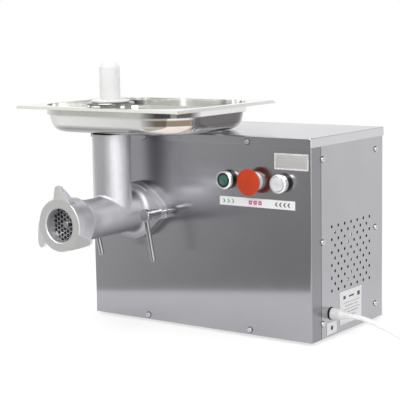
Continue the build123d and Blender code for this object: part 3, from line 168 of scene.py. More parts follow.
def lead_points():
    """The lead's route from its boot, down to the table, round its coil and on to the plug."""
    hang = [(28, 57.5, 40.7), (50, 57.5, 40.7), (78, 57.2, 33.6), (109, 57.0, 22.6), (139, 57.3, 11.2),
            (167, 58.4, 3.8)]
    points = [Vector((RIGHT + x * MM, FRONT + y * MM, z * MM)) for x, y, z in hang]
    wide, tight = MEAN_TURN + LEAD_RADIUS, MEAN_TURN - LEAD_RADIUS
    low, mid, high = LEAD_RADIUS, 3 * LEAD_RADIUS, 5 * LEAD_RADIUS
    turns = [(wide, low), (tight, low), (tight, mid), (wide, mid), (wide, high), (wide, high)]
    for step in range(int(COIL_TURNS * POINTS_PER_TURN)):
        turn_number, part = divmod(step / POINTS_PER_TURN, 1.0)
        here, after = turns[int(turn_number)], turns[min(int(turn_number) + 1, len(turns) - 1)]
        blend = min(1.0, max(0.0, (part - STEP_OVER) / (1.0 - STEP_OVER)))
        blend = blend * blend * (3 - 2 * blend)
        radius = (here[0] + (after[0] - here[0]) * blend) * GUIDE_REACH
        height = here[1] + (after[1] - here[1]) * blend
        angle = math.radians(-90 + 360 * step / POINTS_PER_TURN)
        points.append(Vector((COIL_X + radius * math.cos(angle), COIL_Y + radius * math.sin(angle), height)))
    tail = [(0, 3, 18.5), (0.2, 17, 17.8), (0.8, 31, 16.6), (1.0, 45, 18.0), (1.0, 58, 18.0)]
    points += [Vector((COIL_X + wide + x * MM, COIL_Y + y * MM, z * MM)) for x, y, z in tail]
    return points


def lead_spline(points):
    """The lead's smooth middle line, guided by the points of its route."""
    curve = bpy.data.curves.new("lead_line", "CURVE")
    curve.dimensions = "3D"
    spline = curve.splines.new("NURBS")
    spline.points.add(len(points) - 1)
    for guide, place in zip(spline.points, points):
        guide.co = (*place, 1.0)
    spline.order_u = 3
    spline.use_endpoint_u = True
    spline.resolution_u = 6
    return curve


def lead_tube():
    """The lead's round sheath, and the line that it follows."""
    line = bpy.data.objects.new("lead_line", lead_spline(lead_points()))
    scene.collection.objects.link(line)
    bpy.context.view_layer.update()
    bare = bpy.data.meshes.new_from_object(line.evaluated_get(bpy.context.evaluated_depsgraph_get()))
    path = [vertex.co.copy() for vertex in bare.vertices]
    line.data.bevel_depth = LEAD_RADIUS
    line.data.bevel_resolution = 6
    line.data.use_fill_caps = True
    bpy.context.view_layer.update()
    tube = bpy.data.meshes.new_from_object(line.evaluated_get(bpy.context.evaluated_depsgraph_get()))
    for face in tube.polygons:
        face.use_smooth = True
    bpy.data.objects.remove(line)
    return tube, path


lead_mesh, lead_path = lead_tube()
mains_lead = add_piece("mains_lead", lead_mesh, "base")
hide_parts("power_cord", "cord_coil")


TIE_ANGLE = math.radians(200)  # where on the coil the tie sits
TIE_HALF, TIE_THICK = 2.5 * MM, 0.7 * MM


def build_tie(work):
    """A flat strap round the coil's section, closed in a loop."""
    out = Vector((math.cos(TIE_ANGLE), math.sin(TIE_ANGLE), 0))
    along = Vector((-math.sin(TIE_ANGLE), math.cos(TIE_ANGLE), 0))
    centre = Vector((COIL_X, COIL_Y, 0)) + out * MEAN_TURN
    half, low, high = 8.2 * MM, 0.0, 23.2 * MM
    foot_bend, top_bend = 3.0 * MM, 3.6 * MM
    loop = rounded([(0, low), (half, low), (half, high), (-half, high), (-half, low), (0, low)],
                   [0, foot_bend, top_bend, top_bend, foot_bend, 0])[:-1]
    narrower, lower = 1 - TIE_THICK / half, 1 - 2 * TIE_THICK / high
    rows = []
    for side in (-TIE_HALF, TIE_HALF):
        outer, inner = [], []
        for across, height in loop:
            outer.append(work.verts.new(centre + out * across + along * side + Vector((0, 0, height))))
            inner.append(work.verts.new(centre + out * across * narrower + along * side
                                        + Vector((0, 0, TIE_THICK + height * lower))))
        rows.append((outer, inner))
    (o0, i0), (o1, i1) = rows
    for k in range(len(loop)):
        n = (k + 1) % len(loop)
        for corners in ([o0[k], o0[n], o1[n], o1[k]], [i0[n], i0[k], i1[k], i1[n]],
                        [o0[n], o0[k], i0[k], i0[n]], [o1[k], o1[n], i1[n], i1[k]]):
            work.faces.new(corners)


lead_tie = add_piece("lead_tie", mesh_from("lead_tie", build_tie), "base")


# ------------------------------------------------------------------ shared surface effects
def new_effect(name, inputs, outputs):
    """An empty shader node group with named sockets, and its input and output nodes."""
    group = bpy.data.node_groups.new(name, "ShaderNodeTree")
    for label, kind, value in inputs:
        socket = group.interface.new_socket(name=label, in_out="INPUT", socket_type=kind)
        socket.default_value = value
    for label, kind in outputs:
        group.interface.new_socket(name=label, in_out="OUTPUT", socket_type=kind)
    return group, group.nodes.new("NodeGroupInput"), group.nodes.new("NodeGroupOutput")


def add_node(tree, kind, **settings):
    """A node with its properties and its plain socket values set by name."""
    node = tree.nodes.new(kind)
    for key, value in settings.items():
        if key in node.inputs:
            node.inputs[key].default_value = value
        elif hasattr(node, key):
            setattr(node, key, value)
        else:
            node.inputs[key.replace("_", " ")].default_value = value
    return node


def math_node(tree, operation, first, second, third=None):
    """A Math node; each of its inputs is a number or a socket."""
    node = tree.nodes.new("ShaderNodeMath")
    node.operation = operation
    for index, value in enumerate((first, second, third)):
        if value is None:
            continue
        if isinstance(value, (int, float)):
            node.inputs[index].default_value = value
        else:
            tree.links.new(value, node.inputs[index])
    return node.outputs[0]


EVEN = (1.0, 1.0, 1.0)  # a stretch that is the same every way


def noise_at(tree, coordinates, stretch, scale, detail, roughness=0.55, offset=(0, 0, 0)):
    """Noise on stretched object coordinates."""
    mapping = add_node(tree, "ShaderNodeMapping")
    if isinstance(stretch, tuple):
        mapping.inputs["Scale"].default_value = stretch
    else:
        tree.links.new(stretch, mapping.inputs["Scale"])
    mapping.inputs["Location"].default_value = offset
    tree.links.new(coordinates, mapping.inputs["Vector"])
    noise = add_node(tree, "ShaderNodeTexNoise", Detail=detail, Roughness=roughness)
    if isinstance(scale, (int, float)):
        noise.inputs["Scale"].default_value = scale
    else:
        tree.links.new(scale, noise.inputs["Scale"])
    tree.links.new(mapping.outputs[0], noise.inputs["Vector"])
    return noise.outputs["Fac"]


def spread(tree, value, low, high, to_low, to_high):
    """Maps a value from one range to another, clamped."""
    node = add_node(tree, "ShaderNodeMapRange")
    for label, number in (("From Min", low), ("From Max", high), ("To Min", to_low), ("To Max", to_high)):
        if isinstance(number, (int, float)):
            node.inputs[label].default_value = number
        else:
            tree.links.new(number, node.inputs[label])
    tree.links.new(value, node.inputs["Value"])
    return node.outputs["Result"]


def make_brush_grain():
    """Fine scratches of brushed sheet: long along the grain, hair-thin across it."""
    group, given, out = new_effect(
        "brush_grain",
        [("Stretch", "NodeSocketVector", (3.0, 900.0, 900.0)), ("Smudges", "NodeSocketFloat", 6.0)],
        [("Height", "NodeSocketFloat"), ("Streaks", "NodeSocketFloat"), ("Smudge", "NodeSocketFloat")])
    place = add_node(group, "ShaderNodeTexCoord").outputs["Object"]
    fine = noise_at(group, place, given.outputs["Stretch"], 1.0, detail=2.0)
    bands = add_node(group, "ShaderNodeVectorMath", operation="SCALE")
    bands.inputs["Scale"].default_value = 0.22
    group.links.new(given.outputs["Stretch"], bands.inputs[0])
    broad = noise_at(group, place, bands.outputs[0], 1.0, detail=4.0, offset=(3.1, 0.7, 5.3))
    smudge = noise_at(group, place, EVEN, given.outputs["Smudges"], detail=4.0, offset=(0.4, 1.9, 0.2))
    height = math_node(group, "MULTIPLY_ADD", broad, 0.5, math_node(group, "MULTIPLY", fine, 0.5))
    group.links.new(height, out.inputs["Height"])
    group.links.new(spread(group, broad, 0.32, 0.68, 0.0, 1.0), out.inputs["Streaks"])
    group.links.new(spread(group, smudge, 0.40, 0.68, 0.0, 1.0), out.inputs["Smudge"])
    return group


def make_cast_skin():
    """Sand-cast metal that has been tumbled: fine grain, shallow dimples and cloudy patches."""
    group, given, out = new_effect(
        "cast_skin",
        [("Grain", "NodeSocketFloat", 900.0), ("Dimples", "NodeSocketFloat", 110.0),
         ("Clouds", "NodeSocketFloat", 16.0)],
        [("Height", "NodeSocketFloat"), ("Cloud", "NodeSocketFloat"), ("Pits", "NodeSocketFloat")])
    place = add_node(group, "ShaderNodeTexCoord").outputs["Object"]
    grain = noise_at(group, place, EVEN, given.outputs["Grain"], detail=2.0)
    dimples = noise_at(group, place, EVEN, given.outputs["Dimples"], detail=3.0, offset=(1.3, 0.2, 0.9))
    cloud = noise_at(group, place, EVEN, given.outputs["Clouds"], detail=5.0, roughness=0.6)
    pits = spread(group, dimples, 0.30, 0.38, 1.0, 0.0)
    height = math_node(group, "MULTIPLY_ADD", grain, 0.25, math_node(group, "MULTIPLY", dimples, 0.75))
    height = math_node(group, "MULTIPLY_ADD", pits, -0.25, height)
    group.links.new(height, out.inputs["Height"])
    group.links.new(spread(group, cloud, 0.33, 0.67, 0.0, 1.0), out.inputs["Cloud"])
    group.links.new(pits, out.inputs["Pits"])
    return group


def make_drawn_sheet():
    """Deep-drawn and buffed sheet: slow waves, faint buffing marks and finger smears."""
    group, given, out = new_effect(
        "drawn_sheet",
        [("Waves", "NodeSocketFloat", 22.0), ("Smears", "NodeSocketFloat", 9.0)],
        [("Height", "NodeSocketFloat"), ("Smear", "NodeSocketFloat"), ("Buffing", "NodeSocketFloat")])
    place = add_node(group, "ShaderNodeTexCoord").outputs["Object"]
    waves = noise_at(group, place, EVEN, given.outputs["Waves"], detail=1.5)
    smear = noise_at(group, place, (1.0, 1.0, 0.5), given.outputs["Smears"], detail=5.0,
                     offset=(2.1, 0.4, 1.3))
    buffing = noise_at(group, place, (14.0, 14.0, 420.0), 1.0, detail=2.0)
    group.links.new(waves, out.inputs["Height"])
    group.links.new(spread(group, smear, 0.42, 0.66, 0.0, 1.0), out.inputs["Smear"])
    group.links.new(spread(group, buffing, 0.35, 0.65, 0.0, 1.0), out.inputs["Buffing"])
    return group


def make_moulded_skin():
    """Moulded plastic or rubber: a faint orange peel, and patches a little duller from handling."""
    group, given, out = new_effect(
        "moulded_skin",
        [("Peel", "NodeSocketFloat", 700.0), ("Patches", "NodeSocketFloat", 24.0)],
        [("Height", "NodeSocketFloat"), ("Patch", "NodeSocketFloat")])
    place = add_node(group, "ShaderNodeTexCoord").outputs["Object"]
    peel = noise_at(group, place, EVEN, given.outputs["Peel"], detail=2.0)
    patch = noise_at(group, place, EVEN, given.outputs["Patches"], detail=4.0, offset=(0.2, 2.2, 1.1))
    group.links.new(peel, out.inputs["Height"])
    group.links.new(spread(group, patch, 0.35, 0.65, 0.0, 1.0), out.inputs["Patch"])
    return group


def make_round_marks():
    """Marks what lies beyond Edge millimetres from the axis of a round piece that points forward."""
    group, given, out = new_effect(
        "round_marks",
        [("Centre", "NodeSocketVector", (0.0, 0.0, 0.0)), ("Edge", "NodeSocketFloat", 8.0)],
        [("Outside", "NodeSocketFloat")])
    place = add_node(group, "ShaderNodeTexCoord").outputs["Object"]
    apart = add_node(group, "ShaderNodeVectorMath", operation="SUBTRACT")
    group.links.new(place, apart.inputs[0])
    group.links.new(given.outputs["Centre"], apart.inputs[1])
    flat = add_node(group, "ShaderNodeVectorMath", operation="MULTIPLY")
    flat.inputs[1].default_value = (1 / MM, 0.0, 1 / MM)
    group.links.new(apart.outputs[0], flat.inputs[0])
    reach = add_node(group, "ShaderNodeVectorMath", operation="LENGTH")
    group.links.new(flat.outputs[0], reach.inputs[0])
    past = math_node(group, "SUBTRACT", reach.outputs["Value"], given.outputs["Edge"])
    group.links.new(spread(group, past, -0.15, 0.15, 0.0, 1.0), out.inputs["Outside"])
    return group


def make_faced_side():
    """Marks the surfaces that look in one direction, between two heights."""
    group, given, out = new_effect(
        "faced_side",
        [("Direction", "NodeSocketVector", FORWARD), ("Start", "NodeSocketFloat", 0.6),
         ("End", "NodeSocketFloat", 0.9), ("Low", "NodeSocketFloat", -10.0),
         ("High", "NodeSocketFloat", 10.0)],
        [("Faced", "NodeSocketFloat")])
    source = add_node(group, "ShaderNodeTexCoord")
    looks = add_node(group, "ShaderNodeVectorMath", operation="DOT_PRODUCT")
    group.links.new(source.outputs["Normal"], looks.inputs[0])
    group.links.new(given.outputs["Direction"], looks.inputs[1])
    faced = spread(group, looks.outputs["Value"], given.outputs["Start"], given.outputs["End"], 0.0, 1.0)
    split = add_node(group, "ShaderNodeSeparateXYZ")
    group.links.new(source.outputs["Object"], split.inputs[0])
    above = math_node(group, "SUBTRACT", split.outputs["Z"], given.outputs["Low"])
    below = math_node(group, "SUBTRACT", given.outputs["High"], split.outputs["Z"])
    nearer = math_node(group, "MINIMUM", above, below)
    band = spread(group, nearer, -0.001, 0.001, 0.0, 1.0)
    group.links.new(math_node(group, "MULTIPLY", faced, band), out.inputs["Faced"])
    return group


BRUSH_GRAIN = make_brush_grain()
ROUND_MARKS = make_round_marks()
FACED_SIDE = make_faced_side()
CAST_SKIN = make_cast_skin()
DRAWN_SHEET = make_drawn_sheet()
MOULDED_SKIN = make_moulded_skin()


# ------------------------------------------------------------------ materials
EDGE_ROUND = 0.5 * MM  # how far the light rounds off a sharp edge
# painted shade for the sheet's faces inside the housing
INSIDE_SHADE = (0.035, 0.035, 0.037)


def add_accent(tree, colour, effect, settings, accent):
    """Lays a second colour over the first where another effect's mask says so."""
    marks = tree.nodes.new("ShaderNodeGroup")
    marks.node_tree = effect
    for label, value in settings.items():
        marks.inputs[label].default_value = value
    mix = add_node(tree, "ShaderNodeMix", data_type="RGBA")
    tree.links.new(marks.outputs[0], mix.inputs[0])
    tree.links.new(colour, mix.inputs[6])
    mix.inputs[7].default_value = (*accent, 1.0)
    return mix.outputs[2]


def finish_material(name, effect, settings, mask, colours, roughness, bump, accents=(), **shader_values):
    """A Principled material whose colour and roughness follow an effect's mask, and its bump the height."""
    material = bpy.data.materials.new(name)
    material.use_nodes = True
    tree = material.node_tree
    shader = tree.nodes["Principled BSDF"]
    surface = tree.nodes.new("ShaderNodeGroup")
    surface.node_tree = effect
    for label, value in settings.items():
        surface.inputs[label].default_value = value
    mix = add_node(tree, "ShaderNodeMix", data_type="RGBA")
    mix.inputs[6].default_value = (*colours[0], 1.0)
    mix.inputs[7].default_value = (*colours[1], 1.0)
    tree.links.new(surface.outputs[mask], mix.inputs[0])
    colour = mix.outputs[2]
    for accent in accents:
        colour = add_accent(tree, colour, *accent)
    tree.links.new(colour, shader.inputs["Base Color"])
    tree.links.new(spread(tree, surface.outputs[mask], 0.0, 1.0, *roughness), shader.inputs["Roughness"])
    bump_node = add_node(tree, "ShaderNodeBump", Strength=bump[0], Distance=bump[1])
    tree.links.new(surface.outputs["Height"], bump_node.inputs["Height"])
    worn_edges = add_node(tree, "ShaderNodeBevel", Radius=EDGE_ROUND)
    worn_edges.samples = 4
    tree.links.new(worn_edges.outputs[0], bump_node.inputs["Normal"])
    tree.links.new(bump_node.outputs[0], shader.inputs["Normal"])
    for label, value in shader_values.items():
        shader.inputs[label.replace("_", " ")].default_value = value
    return material


def brushed(name, stretch, smudges, mask, *looks, **more):
    """Brushed or ground steel."""
    return finish_material(name, BRUSH_GRAIN, {"Stretch": stretch, "Smudges": smudges}, mask, *looks, **more)


def cast(name, grain, dimples, clouds, *looks, **more):
    """Cast or painted metal."""
    return finish_material(name, CAST_SKIN, {"Grain": grain, "Dimples": dimples, "Clouds": clouds}, "Cloud",
                           *looks, **more)


def drawn(name, waves, smears, *looks, **more):
    """Drawn, buffed or plated metal."""
    return finish_material(name, DRAWN_SHEET, {"Waves": waves, "Smears": smears}, "Smear", *looks, **more)


def moulded(name, peel, patches, *looks, **more):
    """Plastic, rubber, film or ink."""
    return finish_material(name, MOULDED_SKIN, {"Peel": peel, "Patches": patches}, "Patch", *looks, **more)


def tint(direction, start, end, colour):
    """A second colour for the faces that look one way; on metal it stands for what they would mirror."""
    return FACED_SIDE, {"Direction": direction, "Start": start, "End": end}, colour


def beyond(node, radius, colour):
    """A second colour for what lies further than a radius in millimetres from a button's axis."""
    return ROUND_MARKS, {"Centre": middle_of(node), "Edge": radius}, colour


def sheet_steel(name, stretch, colours, roughness, inside, accents=(), smear=0.0):
    """Brushed stainless sheet, with painted shade on its faces inside the housing; its grain smears what it
    mirrors sideways.
    """
    material = brushed(
        name, stretch, 4.0, "Smudge", colours, roughness, bump=(0.03, 0.0002),
        accents=[*accents, tint(inside, 0.7, 0.9, INSIDE_SHADE)], Metallic=1.0, Anisotropic=smear,
        Anisotropic_Rotation=0.25)
    if smear:
        tree = material.node_tree
        tangent = add_node(tree, "ShaderNodeTangent", direction_type="RADIAL", axis="X")
        tree.links.new(tangent.outputs[0], tree.nodes["Principled BSDF"].inputs["Tangent"])
    return material


# Stretches of the grain: scratches run where the number is small
UPRIGHT, LEVEL, LENGTHWAYS = (900.0, 3.0, 3.0), (3.0, 3.0, 900.0), (3.0, 900.0, 900.0)
GUESSED_COVER = (((0.53, 0.53, 0.545), (0.58, 0.58, 0.595)), (0.22, 0.30))

panel_steel = sheet_steel(
    "brushed_panel_steel", UPRIGHT, ((0.375, 0.375, 0.395), (0.41, 0.41, 0.43)), (0.16, 0.20), BACKWARD,
    [tint(RIGHTWARD, 0.85, 0.98, (0.27, 0.27, 0.285))], smear=0.96)
right_steel = sheet_steel(
    "brushed_right_cover_steel", LEVEL, ((0.43, 0.43, 0.45), (0.48, 0.48, 0.50)), (0.22, 0.30), LEFTWARD)
left_steel = sheet_steel("brushed_left_cover_steel", LEVEL, *GUESSED_COVER, RIGHTWARD)
back_steel = sheet_steel("brushed_back_steel", LEVEL, *GUESSED_COVER, FORWARD)
lid_steel = sheet_steel(
    "brushed_lid_steel", LENGTHWAYS, ((0.58, 0.58, 0.60), (0.64, 0.64, 0.66)), (0.20, 0.28), DOWNWARD,
    [tint(FORWARD, 0.7, 0.95, (0.46, 0.46, 0.475))])
# painted shade: the parts inside the housing are made near black, for the shade they stand in
inner_steel = cast(
    "shade_darkened_inner_steel", 900.0, 70.0, 30.0,
    ((0.045, 0.045, 0.048), (0.075, 0.075, 0.078)), (0.50, 0.65), bump=(0.05, 0.0003), Metallic=0.4)
zinc_steel = cast(
    "zinc_plated_steel", 1200.0, 60.0, 40.0,
    ((0.30, 0.31, 0.32), (0.42, 0.43, 0.44)), (0.34, 0.46), bump=(0.03, 0.0003), Metallic=1.0)
screw_steel = brushed(
    "plated_screw_steel", (900.0, 900.0, 900.0), 60.0, "Streaks",
    ((0.62, 0.62, 0.63), (0.74, 0.74, 0.75)), (0.16, 0.24), bump=(0.03, 0.0002), Metallic=0.95)
cast_aluminium = cast(
    "cast_aluminium", 800.0, 330.0, 18.0,
    ((0.80, 0.80, 0.83), (0.91, 0.91, 0.94)), (0.36, 0.48), bump=(0.46, 0.0013), Metallic=0.72,
    accents=[tint(FORWARD, 0.8, 0.97, (0.55, 0.55, 0.57)), tint(DOWNWARD, 0.05, 0.75, (0.24, 0.24, 0.26)),
             tint(UPWARD, 0.55, 0.95, (0.38, 0.38, 0.40))])
# the nut's front face is tinted: partly a machined face, partly a painted reflection of what it faces
nut_aluminium = cast(
    "faced_cast_aluminium", 900.0, 110.0, 22.0,
    ((0.72, 0.72, 0.75), (0.84, 0.84, 0.87)), (0.34, 0.46), bump=(0.34, 0.0012), Metallic=0.80,
    accents=[tint(FORWARD, 0.7, 0.95, (0.72, 0.72, 0.70))])
machine_steel = brushed(
    "machined_steel", (500.0, 40.0, 500.0), 30.0, "Streaks",
    ((0.36, 0.36, 0.37), (0.48, 0.48, 0.49)), (0.24, 0.36), bump=(0.05, 0.0003), Metallic=1.0)
plate_steel = brushed(
    "ground_plate_steel", (300.0, 300.0, 300.0), 30.0, "Smudge",
    ((0.30, 0.30, 0.31), (0.48, 0.48, 0.49)), (0.26, 0.38), bump=(0.05, 0.0003), Metallic=0.8)
bronze = cast(
    "bearing_bronze", 900.0, 200.0, 60.0,
    ((0.50, 0.33, 0.15), (0.64, 0.45, 0.22)), (0.28, 0.40), bump=(0.04, 0.0003), Metallic=1.0)
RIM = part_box("tray")[1].z


def tray_tint(direction, start, end, colour, low=None, high=None):
    """A painted reflection on the tray, all over or between two heights in millimetres below its rim."""
    effect, settings, colour = tint(direction, start, end, colour)
    if low is not None:
        settings.update(Low=RIM - low * MM, High=RIM - high * MM)
    return effect, settings, colour


BOWL_FRONT, BOWL_CORNER, BOWL_SIDE = (0.0, -0.98, -0.2), (0.70, -0.70, -0.12), (0.97, 0.0, -0.2)
LIP, BOTTOM_BEND = (0.0, -0.86, 0.51), (0.0, -0.6, -0.8)
tray_steel = drawn(
    "polished_tray_steel", 20.0, 9.0,
    ((0.86, 0.86, 0.845), (0.92, 0.92, 0.91)), (0.07, 0.13), bump=(0.09, 0.0030), Metallic=0.78,
    accents=[tray_tint(UPWARD, 0.9, 0.99, (0.80, 0.81, 0.76), 2.0, -5.0),
             tray_tint(LIP, 0.90, 0.97, (0.80, 0.82, 0.74)),
             tray_tint(BOWL_FRONT, 0.93, 0.985, (0.68, 0.70, 0.63), 14.5, 3.5),
             tray_tint(BOWL_FRONT, 0.93, 0.985, (0.97, 0.97, 0.95), 29.5, 17.0),
             tray_tint(BOTTOM_BEND, 0.82, 0.98, (0.34, 0.34, 0.335)),
             tray_tint(DOWNWARD, 0.86, 0.98, (0.26, 0.26, 0.26)),
             tray_tint(BOWL_CORNER, 0.76, 0.92, (0.13, 0.12, 0.11), 14.5, 4.5),
             tray_tint(BOWL_CORNER, 0.74, 0.92, (0.29, 0.23, 0.165), 27.0, 17.5),
             tray_tint(BOWL_CORNER, 0.72, 0.90, (0.78, 0.70, 0.62), 45.0, 29.0),
             tray_tint(BOWL_SIDE, 0.90, 0.98, (0.25, 0.235, 0.24), 34.0, 14.0)])
ring_steel = drawn(
    "pressed_ring_steel", 30.0, 14.0,
    ((0.34, 0.34, 0.33), (0.44, 0.44, 0.43)), (0.12, 0.20), bump=(0.12, 0.0020), Metallic=1.0)
chrome = drawn(
    "bright_chrome", 60.0, 40.0,
    ((0.40, 0.40, 0.41), (0.50, 0.50, 0.51)), (0.10, 0.16), bump=(0.10, 0.0005), Metallic=1.0)
silver_foil = brushed(
    "silver_foil", (20.0, 600.0, 1200.0), 20.0, "Streaks",
    ((0.50, 0.49, 0.475), (0.58, 0.57, 0.555)), (0.36, 0.48), bump=(0.03, 0.0002), Metallic=0.3)
white_film = moulded(
    "white_label_film", 900.0, 30.0,
    ((0.80, 0.80, 0.80), (0.84, 0.84, 0.84)), (0.32, 0.42), bump=(0.03, 0.0002))
white_plastic = moulded(
    "white_food_plastic", 500.0, 20.0,
    ((0.78, 0.78, 0.775), (0.82, 0.82, 0.815)), (0.34, 0.44), bump=(0.04, 0.0004), Subsurface_Weight=0.10,
    Subsurface_Radius=(0.006, 0.005, 0.004))
white_lead = moulded(
    "white_lead_sheath", 800.0, 30.0,
    ((0.93, 0.93, 0.93), (0.95, 0.95, 0.95)), (0.36, 0.46), bump=(0.05, 0.0003))
clear_cap = moulded(
    "frosted_cap_plastic", 350.0, 120.0,
    ((0.60, 0.60, 0.62), (0.72, 0.72, 0.745)), (0.12, 0.22), bump=(0.10, 0.0005), Coat_Weight=0.8,
    Coat_Roughness=0.04)
green_cap = moulded(
    "green_cap_plastic", 600.0, 90.0,
    ((0.035, 0.125, 0.095), (0.055, 0.175, 0.135)), (0.24, 0.34), bump=(0.05, 0.0003),
    accents=[beyond("start_button", 8.2, (0.010, 0.011, 0.011))])
red_cap = moulded(
    "red_cap_plastic", 600.0, 50.0,
    ((0.46, 0.036, 0.005), (0.52, 0.045, 0.007)), (0.46, 0.56), bump=(0.05, 0.0003), Specular_IOR_Level=0.3)
bezel_chrome = drawn(
    "bezel_chrome", 60.0, 40.0,
    ((0.88, 0.88, 0.88), (0.95, 0.95, 0.95)), (0.12, 0.20), bump=(0.08, 0.0004), Metallic=0.6)
collar_black = moulded(  # pale round the stop button, black round the other two
    "collar_black", 700.0, 40.0,
    ((0.78, 0.78, 0.79), (0.85, 0.85, 0.86)), (0.24, 0.34), bump=(0.05, 0.0003), Specular_IOR_Level=0.3,
    accents=[beyond("stop_button", 20.0, (0.006, 0.006, 0.007))])
black_plastic = moulded(
    "black_plastic", 700.0, 40.0,
    ((0.010, 0.010, 0.011), (0.020, 0.020, 0.022)), (0.30, 0.42), bump=(0.06, 0.0003))
grey_plastic = moulded(
    "grey_plastic", 700.0, 40.0,
    ((0.30, 0.30, 0.31), (0.38, 0.38, 0.39)), (0.36, 0.46), bump=(0.06, 0.0003))
black_rubber = moulded(
    "black_rubber", 500.0, 60.0,
    ((0.016, 0.016, 0.016), (0.030, 0.030, 0.030)), (0.62, 0.78), bump=(0.12, 0.0005))
gland_black = moulded(
    "gland_black", 500.0, 60.0,
    ((0.004, 0.004, 0.004), (0.008, 0.008, 0.008)), (0.45, 0.60), bump=(0.08, 0.0004),
    Specular_IOR_Level=0.15)
motor_paint = cast(
    "motor_paint", 700.0, 150.0, 30.0,
    ((0.07, 0.08, 0.095), (0.11, 0.12, 0.14)), (0.38, 0.50), bump=(0.08, 0.0004))
pin_brass = drawn(
    "plated_pins", 90.0, 60.0,
    ((0.72, 0.70, 0.62), (0.80, 0.78, 0.70)), (0.12, 0.22), bump=(0.05, 0.0003), Metallic=1.0)
frame_silver = drawn(
    "badge_frame_silver", 80.0, 50.0,
    ((0.80, 0.80, 0.80), (0.86, 0.86, 0.86)), (0.22, 0.32), bump=(0.05, 0.0003), Metallic=0.5)


def ink(name, first, second):
    """A printed ink, slightly uneven."""
    return moulded(name, 1500.0, 400.0, (first, second), (0.40, 0.52), bump=(0.02, 0.0001))


green_ink = ink("green_ink", (0.05, 0.32, 0.24), (0.08, 0.40, 0.31))
red_ink = ink("red_ink", (0.56, 0.03, 0.14), (0.66, 0.05, 0.19))
black_ink = ink("black_ink", (0.02, 0.02, 0.022), (0.035, 0.035, 0.04))
grey_ink = ink("grey_ink", (0.30, 0.30, 0.32), (0.40, 0.40, 0.42))

SLOT_MATERIALS = {
    "stainless": panel_steel, "zinc_steel": zinc_steel, "screw_steel": screw_steel,
    "cast_aluminium": cast_aluminium, "machine_steel": machine_steel, "bronze": bronze,
    "motor_paint": motor_paint, "black_plastic": black_plastic, "grey_plastic": grey_plastic,
    "rubber": black_rubber, "chrome": chrome, "polished_steel": tray_steel, "white_plastic": white_plastic,
    "white_lead": white_lead, "pin_brass": pin_brass, "green_plastic": green_cap, "red_plastic": red_cap,
    "white_label": white_film, "silver_label": silver_foil}
OWN_MATERIALS = {
    "lid": lid_steel, "right_cover": right_steel, "left_cover": left_steel, "back_panel": back_steel,
    "safety_ring": ring_steel, "cord_gland": gland_black,
    "button_bezels": bezel_chrome, "button_collars": collar_black,
    "ring_nut": nut_aluminium, "reverse_button": clear_cap, "grinding_plate": plate_steel,
    "gearbox_case": inner_steel, "gearbox_cover": inner_steel, "motor_end_caps": inner_steel,
    "corner_posts": inner_steel, "motor_bracket": inner_steel, "base_plate": zinc_steel,
    "knife": plate_steel}

for part in frame["record"]["subparts"]:
    node = nodes[part["node"]]
    material = OWN_MATERIALS.get(part["node"], SLOT_MATERIALS[part["material_slot"]])
    if not node.material_slots:
        node.data.materials.append(material)
    for holder in node.material_slots:
        holder.material = material
mains_lead.data.materials.append(white_lead)
lead_tie.data.materials.append(black_plastic)


# ------------------------------------------------------------------ prints, frame and seams
PRINT = 0.06 * MM  # thickness of the ink
CRISP = 20.0  # degrees: sharper edges of the prints and the badge's frame stay sharp


def plate_axes(node, facing):
    """A label's middle on its outer face, and its across, up and out directions."""
    low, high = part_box(node)
    centre = (low + high) / 2
    if facing == "front":
        return Vector((centre.x, low.y, centre.z)), Vector(RIGHTWARD), Vector(UPWARD), Vector(FORWARD)
    return Vector((high.x, centre.y, centre.z)), Vector(BACKWARD), Vector(UPWARD), Vector(RIGHTWARD)


def print_marks(name, node, facing, marks, material):
    """Flat printed shapes on a label: each mark is a list of (across, up) corners in millimetres."""
    centre, across, up, out = plate_axes(node, facing)

    def build(work):
        for corners in marks:
            top = [work.verts.new(centre + across * (u * MM) + up * (v * MM) + out * PRINT)
                   for u, v in corners]
            foot = [work.verts.new(vert.co - out * PRINT * 0.9) for vert in top]
            work.faces.new(top)
            work.faces.new(foot[::-1])
            for k in range(len(top)):
                n = (k + 1) % len(top)
                work.faces.new([top[n], top[k], foot[k], foot[n]])
    add_piece(name, mesh_from(name, build, CRISP), "base", material)


def bar(u, v, width, height):
    """A printed bar by its middle and size."""
    return [(u - width / 2, v - height / 2), (u + width / 2, v - height / 2),
            (u + width / 2, v + height / 2), (u - width / 2, v + height / 2)]


def disc(u, v, radius, count=20):
    """A printed dot."""
    return [(u + radius * math.cos(2 * math.pi * k / count), v + radius * math.sin(2 * math.pi * k / count))
            for k in range(count)]


# The strip under the buttons: green arrows for start, red blocks for stop, black arrows back for reverse
MARK, STROKE = 6.4, 2.0  # height of the printed marks, and the width of their lines
STRIP_SHIFT = 0.6  # how far right of the buttons the marks stand


def across_strip(button):
    """How far along the strip, in millimetres, a button's marks stand from the strip's middle."""
    return (middle_of(button).x - middle_of("label_strip").x) / MM + STRIP_SHIFT


def chevron(u, way):
    """A printed arrowhead that points right (1) or left (-1)."""
    tip, tail, half = u + way * MARK * 0.35, u - way * MARK * 0.25, MARK / 2
    corners = [(tail, half), (tail + way * STROKE * 1.2, half), (tip + way * STROKE * 0.6, 0.0),
               (tail + way * STROKE * 1.2, -half), (tail, -half), (tip - way * STROKE * 0.6, 0.0)]
    return corners[::-way]


def block(u):
    """A printed square, drawn as its four sides."""
    side = MARK * 0.92
    offset = (side - STROKE) / 2
    return [bar(u, offset, side, STROKE), bar(u, -offset, side, STROKE),
            bar(u - offset, 0.0, STROKE, side - 2 * STROKE), bar(u + offset, 0.0, STROKE, side - 2 * STROKE)]


def print_on_strip(name, button, steps, shapes, material):
    """Prints one button's marks; shapes gives the shapes of the mark at a place along the strip."""
    marks = [shape for step in steps for shape in shapes(across_strip(button) + step)]
    print_marks(name, "label_strip", "front", marks, material)


